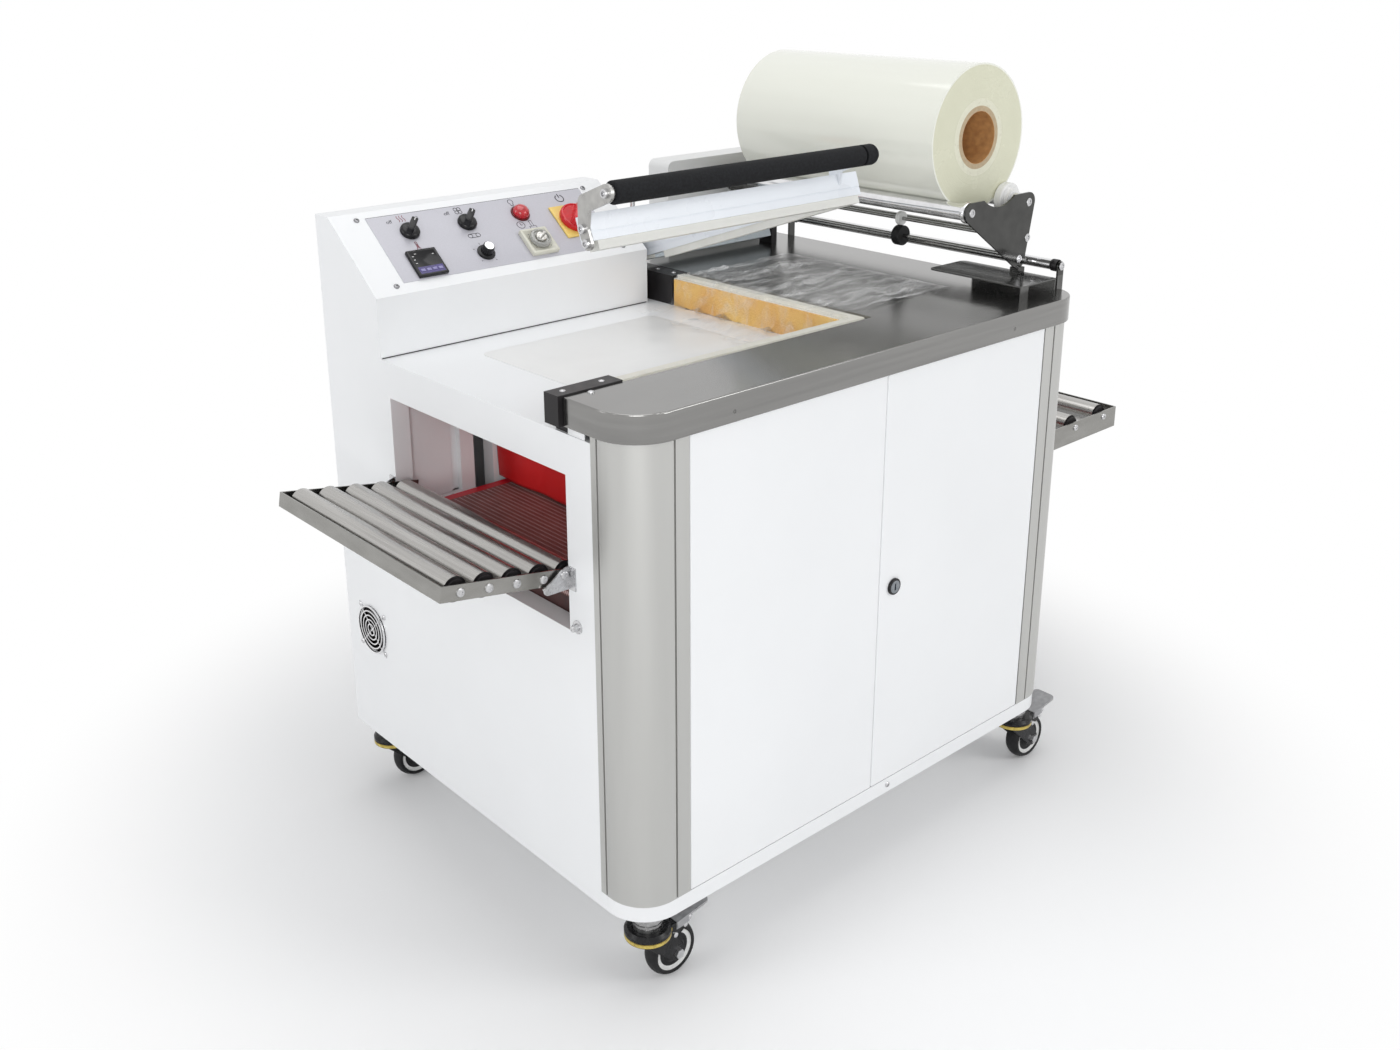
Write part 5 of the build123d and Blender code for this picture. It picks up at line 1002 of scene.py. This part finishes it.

# Film unit: polished stainless side plates, rods and separator tray, chromed rollers, nylon discs.
# Countersunk socket screws hold the rollers and ties in the plates.
# The side plates and separator tray are coloured near black: a painted dark reflection, standing in for the dark
# room that the polished steel shows.
polished = dict(light=(0.085, 0.085, 0.082), dark=(0.068, 0.068, 0.066), grain=0.02, rough=(0.14, 0.20),
                relief=0.02, fine=0.0009, metallic=0.95)
separator = dict(light=(0.15, 0.15, 0.147), dark=(0.12, 0.12, 0.117), grain=0.01, rough=(0.14, 0.2),
                 relief=0.02, fine=0.0009, stretch=(1, 0.05, 1), metallic=0.95)
rod_steel = dict(light=(0.42, 0.42, 0.41), dark=(0.34, 0.34, 0.33), grain=0.01, rough=(0.12, 0.18),
                 metallic=1.0)
rods = [((0.376, 0, 0.732), 0.0034), ((0.376, 0, 0.7593), 0.0034), ((0.420, 0, 0.752), 0.0054),
        ((0.402, 0, 0.722), 0.0054)]
paint(material_of("cradle_finish", polished,
                  (separator, [("z", 0.6795, 0.7025), ("y", -0.4, -0.145)]),
                  *[(rod_steel, [("y", 0, reach, line), ("y", -0.2548, 0.2588)]) for line, reach in rods]),
      "film_cradle")
chrome_finish = material_of("roller_chrome", chrome)
paint(chrome_finish, "cradle_roller_left", "cradle_roller_right", "lower_roller")
nylon = dict(light=(0.84, 0.84, 0.83), dark=(0.78, 0.78, 0.77), grain=0.02, rough=(0.28, 0.38), relief=0.04,
             fine=0.001)
nylon_finish = material_of("nylon_finish", nylon)
paint(nylon_finish, "end_discs", "needle_wheel")
paint(material_of("rubber_finish", tyre_black), "perforator_wheel")
plate_bolt_pattern = turned("plate_bolt_pattern",
                            [(0, 0.0062), (0.0006, 0.0062), (0.0012, 0.0056), (0.0012, 0.0036),
                                                   (0.0002, 0.0034)], vertices=28)
plate_places = []
for face, side in ((-0.258, -1), (0.262, 1)):
    for x, z in ((0.280, 0.806), (0.418, 0.806), (0.420, 0.752), (0.402, 0.722)):
        plate_places.append(((x, face, z), (0, side, 0)))
plate_bolts = copies(plate_bolt_pattern, "plate_bolts", plate_places)
fit(plate_bolts, "cabinet", steel)
collar_pattern = turned("collar_pattern",
                        [(0, 0.0150), (0.0010, 0.0156), (0.0060, 0.0156), (0.0070, 0.0150),
                                           (0.0072, 0.0124)], vertices=40)
fit(copies(collar_pattern, "roller_collars",
           [((0.280, -0.2540, 0.806), (0, 1, 0)), ((0.280, 0.2580, 0.806), (0, -1, 0))]),
    "cradle_left", chrome_finish)
tip_pattern = turned("tip_pattern", [(0, 0.0086), (0.0012, 0.0092), (0.0100, 0.0092), (0.0112, 0.0086),
                                     (0.0114, 0.0081)], vertices=32)
fit(copies(tip_pattern, "lower_roller_caps",
           [((0.429, -0.3110, 0.716), (0, 1, 0)), ((0.429, 0.2385, 0.716), (0, -1, 0))]),
    "guide_roller", end_block_finish)
fit(copies(plate_bolt_pattern, "post_bolts", [((0.429, -0.3160, 0.716), (0, -1, 0))]), "cabinet", steel)

# Film roll: clear film wound on a brown board core. Wound so thick it looks cream, with a fine
# winding line on its ends and a paler band round the core.
roll_low, roll_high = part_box("film_roll")
roll_centre = tuple((roll_low + roll_high) / 2)
roll_finish = bpy.data.materials.new("film_roll_finish")
roll_finish.use_nodes = True
winding = roll_finish.node_tree
winding.nodes.remove(winding.nodes["Principled BSDF"])
body_film = dict(light=(0.835, 0.845, 0.765), dark=(0.81, 0.82, 0.735), grain=0.05, rough=(0.10, 0.18),
                 stretch=(1, 0.04, 1), more=(("Coat Weight", 0.5), ("Coat Roughness", 0.06)))
end_film = dict(light=(0.69, 0.69, 0.53), dark=(0.665, 0.665, 0.505), grain=0.05, rough=(0.22, 0.30),
                more=(("Coat Weight", 0.25), ("Coat Roughness", 0.2)))
pale_film = dict(light=(0.74, 0.735, 0.59), dark=(0.69, 0.68, 0.54), grain=0.01, rough=(0.25, 0.35))
board = dict(light=(0.62, 0.34, 0.13), dark=(0.46, 0.23, 0.085), grain=0.01, rough=(0.6, 0.75), relief=0.2,
             fine=0.001)
board_edge = dict(light=(0.50, 0.40, 0.26), dark=(0.42, 0.32, 0.20), grain=0.006, rough=(0.6, 0.75),
                  relief=0.2,
                  fine=0.0007)


def wound(finish, pitch, depth):
    """A finish with the fine rings of wound film, in steps of radius from the roll's own line."""
    shader = dress(winding, **finish)
    place = winding.nodes.new("ShaderNodeTexCoord")
    away = winding.nodes.new("ShaderNodeVectorMath")
    away.operation = "SUBTRACT"
    away.inputs[1].default_value = roll_centre
    winding.links.new(place.outputs["Object"], away.inputs[0])
    flat = winding.nodes.new("ShaderNodeVectorMath")
    flat.operation = "MULTIPLY"
    flat.inputs[1].default_value = (1, 0, 1)
    winding.links.new(away.outputs[0], flat.inputs[0])
    reach = winding.nodes.new("ShaderNodeVectorMath")
    reach.operation = "LENGTH"
    winding.links.new(flat.outputs[0], reach.inputs[0])
    ring = winding.nodes.new("ShaderNodeTexNoise")
    ring.noise_dimensions = "1D"
    ring.inputs["Scale"].default_value = 1 / pitch
    ring.inputs["Detail"].default_value = 3
    winding.links.new(reach.outputs["Value"], ring.inputs["W"])
    relief = winding.nodes.new("ShaderNodeBump")
    relief.inputs["Strength"].default_value = depth
    relief.inputs["Distance"].default_value = 0.0006
    winding.links.new(ring.outputs["Fac"], relief.inputs["Height"])
    winding.links.new(relief.outputs["Normal"], shader.inputs["Normal"])
    return shader.outputs["BSDF"]


def laid(under, upper, tests):
    """A finish laid over another inside its tests."""
    both = winding.nodes.new("ShaderNodeMixShader")
    winding.links.new(zone(winding, tests), both.inputs["Fac"])
    winding.links.new(under, both.inputs[1])
    winding.links.new(upper, both.inputs[2])
    return both.outputs[0]


roll_look = dress(winding, **body_film).outputs["BSDF"]
roll_look = laid(roll_look, wound(end_film, 0.0016, 0.5), [("y", 0, 0.1045, roll_centre)])
roll_look = laid(roll_look, wound(pale_film, 0.0016, 0.4), [("y", 0, 0.0560, roll_centre)])
roll_look = laid(roll_look, dress(winding, **board_edge).outputs["BSDF"], [("y", 0, 0.0460, roll_centre)])
roll_look = laid(roll_look, dress(winding, **board).outputs["BSDF"], [("y", 0, 0.0384, roll_centre)])
winding.links.new(roll_look, winding.nodes["Material Output"].inputs["Surface"])
paint(roll_finish, "film_roll")

# Loose film: thin clear film off the roll, laid over the film table and the cross bar and let down
# over the sponge on to the white table. It is a single crumpled sheet that lies under its weight.
film_low, film_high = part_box("loose_film")
film_finish = bpy.data.materials.new("film_finish")
film_finish.use_nodes = True
clear = film_finish.node_tree
film_shader = clear.nodes["Principled BSDF"]
film_shader.inputs["Roughness"].default_value = 0.14
film_shader.inputs["IOR"].default_value = 1.5
film_shader.inputs["Specular IOR Level"].default_value = 0.9
film_place = clear.nodes.new("ShaderNodeTexCoord")
film_turn = clear.nodes.new("ShaderNodeMapping")
film_turn.inputs["Rotation"].default_value = (0, 0, radians(28))
film_turn.inputs["Scale"].default_value = (0.35, 1.5, 1)
clear.links.new(film_place.outputs["Object"], film_turn.inputs["Vector"])
# Painted sheen: the film's white opacity comes in streaks from a crumple noise, which also drives its relief, and
# stands in for the room's reflection in the film.
crumple_sheen = clear.nodes.new("ShaderNodeTexNoise")
crumple_sheen.inputs["Scale"].default_value = 26
crumple_sheen.inputs["Detail"].default_value = 6
crumple_sheen.inputs["Roughness"].default_value = 0.62
crumple_sheen.inputs["Distortion"].default_value = 0.6
clear.links.new(film_turn.outputs["Vector"], crumple_sheen.inputs["Vector"])
sheen_streaks = clear.nodes.new("ShaderNodeMapRange")
sheen_streaks.inputs["From Min"].default_value = 0.46
sheen_streaks.inputs["From Max"].default_value = 0.74
sheen_streaks.inputs["To Min"].default_value = 0.05
sheen_streaks.inputs["To Max"].default_value = 0.42
clear.links.new(crumple_sheen.outputs["Fac"], sheen_streaks.inputs["Value"])
film_split = clear.nodes.new("ShaderNodeSeparateXYZ")
clear.links.new(film_place.outputs["Object"], film_split.inputs[0])
# The painted sheen is faint over the mat and strong over the steel, where the film's reflection shows against the
# darker metal.
faint_sheen_until = 0.062
full_sheen_from = 0.100
sheen_over_mat = 0.45
sheen_over_steel = 1.5
sheen_by_backing = clear.nodes.new("ShaderNodeMapRange")
sheen_by_backing.inputs["From Min"].default_value = faint_sheen_until
sheen_by_backing.inputs["From Max"].default_value = full_sheen_from
sheen_by_backing.inputs["To Min"].default_value = sheen_over_mat
sheen_by_backing.inputs["To Max"].default_value = sheen_over_steel
clear.links.new(film_split.outputs["X"], sheen_by_backing.inputs["Value"])
film_sheen = clear.nodes.new("ShaderNodeMath")
film_sheen.operation = "MULTIPLY"
clear.links.new(sheen_streaks.outputs["Result"], film_sheen.inputs[0])
clear.links.new(sheen_by_backing.outputs["Result"], film_sheen.inputs[1])
clear.links.new(film_sheen.outputs[0], film_shader.inputs["Alpha"])
film_tone = clear.nodes.new("ShaderNodeValToRGB")
film_tone.color_ramp.elements[0].color = (0.86, 0.86, 0.86, 1)
film_tone.color_ramp.elements[1].color = (0.94, 0.94, 0.94, 1)
clear.links.new(crumple_sheen.outputs["Fac"], film_tone.inputs["Fac"])
clear.links.new(film_tone.outputs["Color"], film_shader.inputs["Base Color"])
film_relief = clear.nodes.new("ShaderNodeBump")
film_relief.inputs["Strength"].default_value = 0.5
film_relief.inputs["Distance"].default_value = 0.004
clear.links.new(crumple_sheen.outputs["Fac"], film_relief.inputs["Height"])
clear.links.new(film_relief.outputs["Normal"], film_shader.inputs["Normal"])


def crease(x, y, size, seed):
    """Height of sharp creases between smoother facets, as thin film crumples."""
    place = Vector((x / size, y / size, seed))
    drift = noise.noise_vector(place * 0.7) * 0.6
    return 1 - abs(noise.noise(place + drift)) * 2.2


bar_left = 0.0660
film_top = 0.6812
lap_level = 0.6352
film_right = 0.318
film_left = 0.0655
table_run = film_right - film_left
fall = film_top - lap_level
lap = 0.098
film_length = table_run + fall + lap
side_margin = 0.004
film_depth = film_high.y - film_low.y - side_margin
columns = 190
rows = 150
bpy.ops.object.select_all(action="DESELECT")
bpy.ops.mesh.primitive_grid_add(x_subdivisions=columns, y_subdivisions=rows, size=1, location=(0, 0, 0))
film_piece = bpy.context.object
film_piece.name = "film_sheet"
for point in film_piece.data.vertices:
    s = (0.5 - point.co.x) * film_length
    across = point.co.y
    y = (film_low.y + film_high.y) / 2 + across * film_depth
    edge = 1 - min(1.0, (0.5 - abs(across)) * 14)
    fold = crease(s * 0.9 + y * 0.4, y * 0.5 - s * 0.3, 0.040,
                  1.7) * 0.7 + crease(s * 0.5 + y * 0.8, y * 0.3, 0.022, 6.1) * 0.3
    if s < table_run:
        x = film_right - s
        lift = 0.0010 + 0.0042 * max(0.0, fold) ** 2 * min(1.0, s / 0.03)
        z = film_top + lift - 0.0004
    elif s < table_run + fall:
        part = (s - table_run) / fall
        x = bar_left - 0.0016 - 0.0075 * part * part - 0.0065 * max(0.0, fold) ** 1.5 * (0.25 + part)
        z = film_top + 0.0008 - part * fall
    else:
        part = (s - table_run - fall) / lap
        x = bar_left - 0.0091 - (s - table_run - fall) * (0.80 + 0.20 * noise.noise(Vector((0, y * 16,
                                                                                            3.0))))
        z = lap_level + 0.0006 + (0.0100 * max(0.0, fold) ** 1.6) * (1 - 0.45 * part) + 0.0022 * edge * part
    point.co = (x, y + 0.0012 * noise.noise(Vector((s * 30, y * 30, 9.0))), z)
bpy.ops.object.shade_smooth()
skin = film_piece.modifiers.new("skin", "SOLIDIFY")
skin.thickness = 0.00012
skin.offset = 0
bpy.ops.object.modifier_apply(modifier="skin")
fit(film_piece, "cabinet", film_finish)
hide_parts("loose_film")

# Mat: a smooth off-white plastic sheet that lies on the white table, with rounded corners, so that
# goods slide to the sealer.
bpy.ops.object.select_all(action="DESELECT")
bpy.ops.mesh.primitive_cube_add(size=1, location=(-0.159, -0.0370, 0.63345))
mat = bpy.context.object
mat.name = "table_mat"
mat.scale = (0.318, 0.318, 0.0009)
bpy.ops.object.transform_apply(location=True, rotation=True, scale=True)
bpy.ops.object.mode_set(mode="EDIT")
bpy.ops.mesh.select_mode(type="EDGE")
bpy.ops.mesh.select_all(action="DESELECT")
shape = bmesh.from_edit_mesh(mat.data)
for line in shape.edges:
    first, second = (point.co for point in line.verts)
    line.select_set(abs(first.x - second.x) < 1e-5 and abs(first.y - second.y) < 1e-5)
bmesh.update_edit_mesh(mat.data)
bpy.ops.mesh.bevel(offset=0.014, segments=8, affect="EDGES")
bpy.ops.mesh.select_all(action="SELECT")
bpy.ops.object.mode_set(mode="OBJECT")
rim = mat.modifiers.new("rim", "BEVEL")
rim.width = 0.0003
rim.segments = 2
rim.limit_method = "ANGLE"
bpy.ops.object.modifier_apply(modifier="rim")
bpy.ops.object.shade_smooth_by_angle(angle=radians(40))
mat_white = dict(light=(0.80, 0.80, 0.79), dark=(0.765, 0.765, 0.755), grain=0.06, rough=(0.30, 0.42),
                 relief=0.04, fine=0.002)
fit(mat, "cabinet", material_of("mat_finish", mat_white))

for pattern in (screw_pattern, rivet_pattern, socket_pattern, bolt_pattern, cap_pattern, rail_bolt_pattern,
                washer_pattern, plate_bolt_pattern, collar_pattern, tip_pattern):
    bpy.data.objects.remove(pattern)
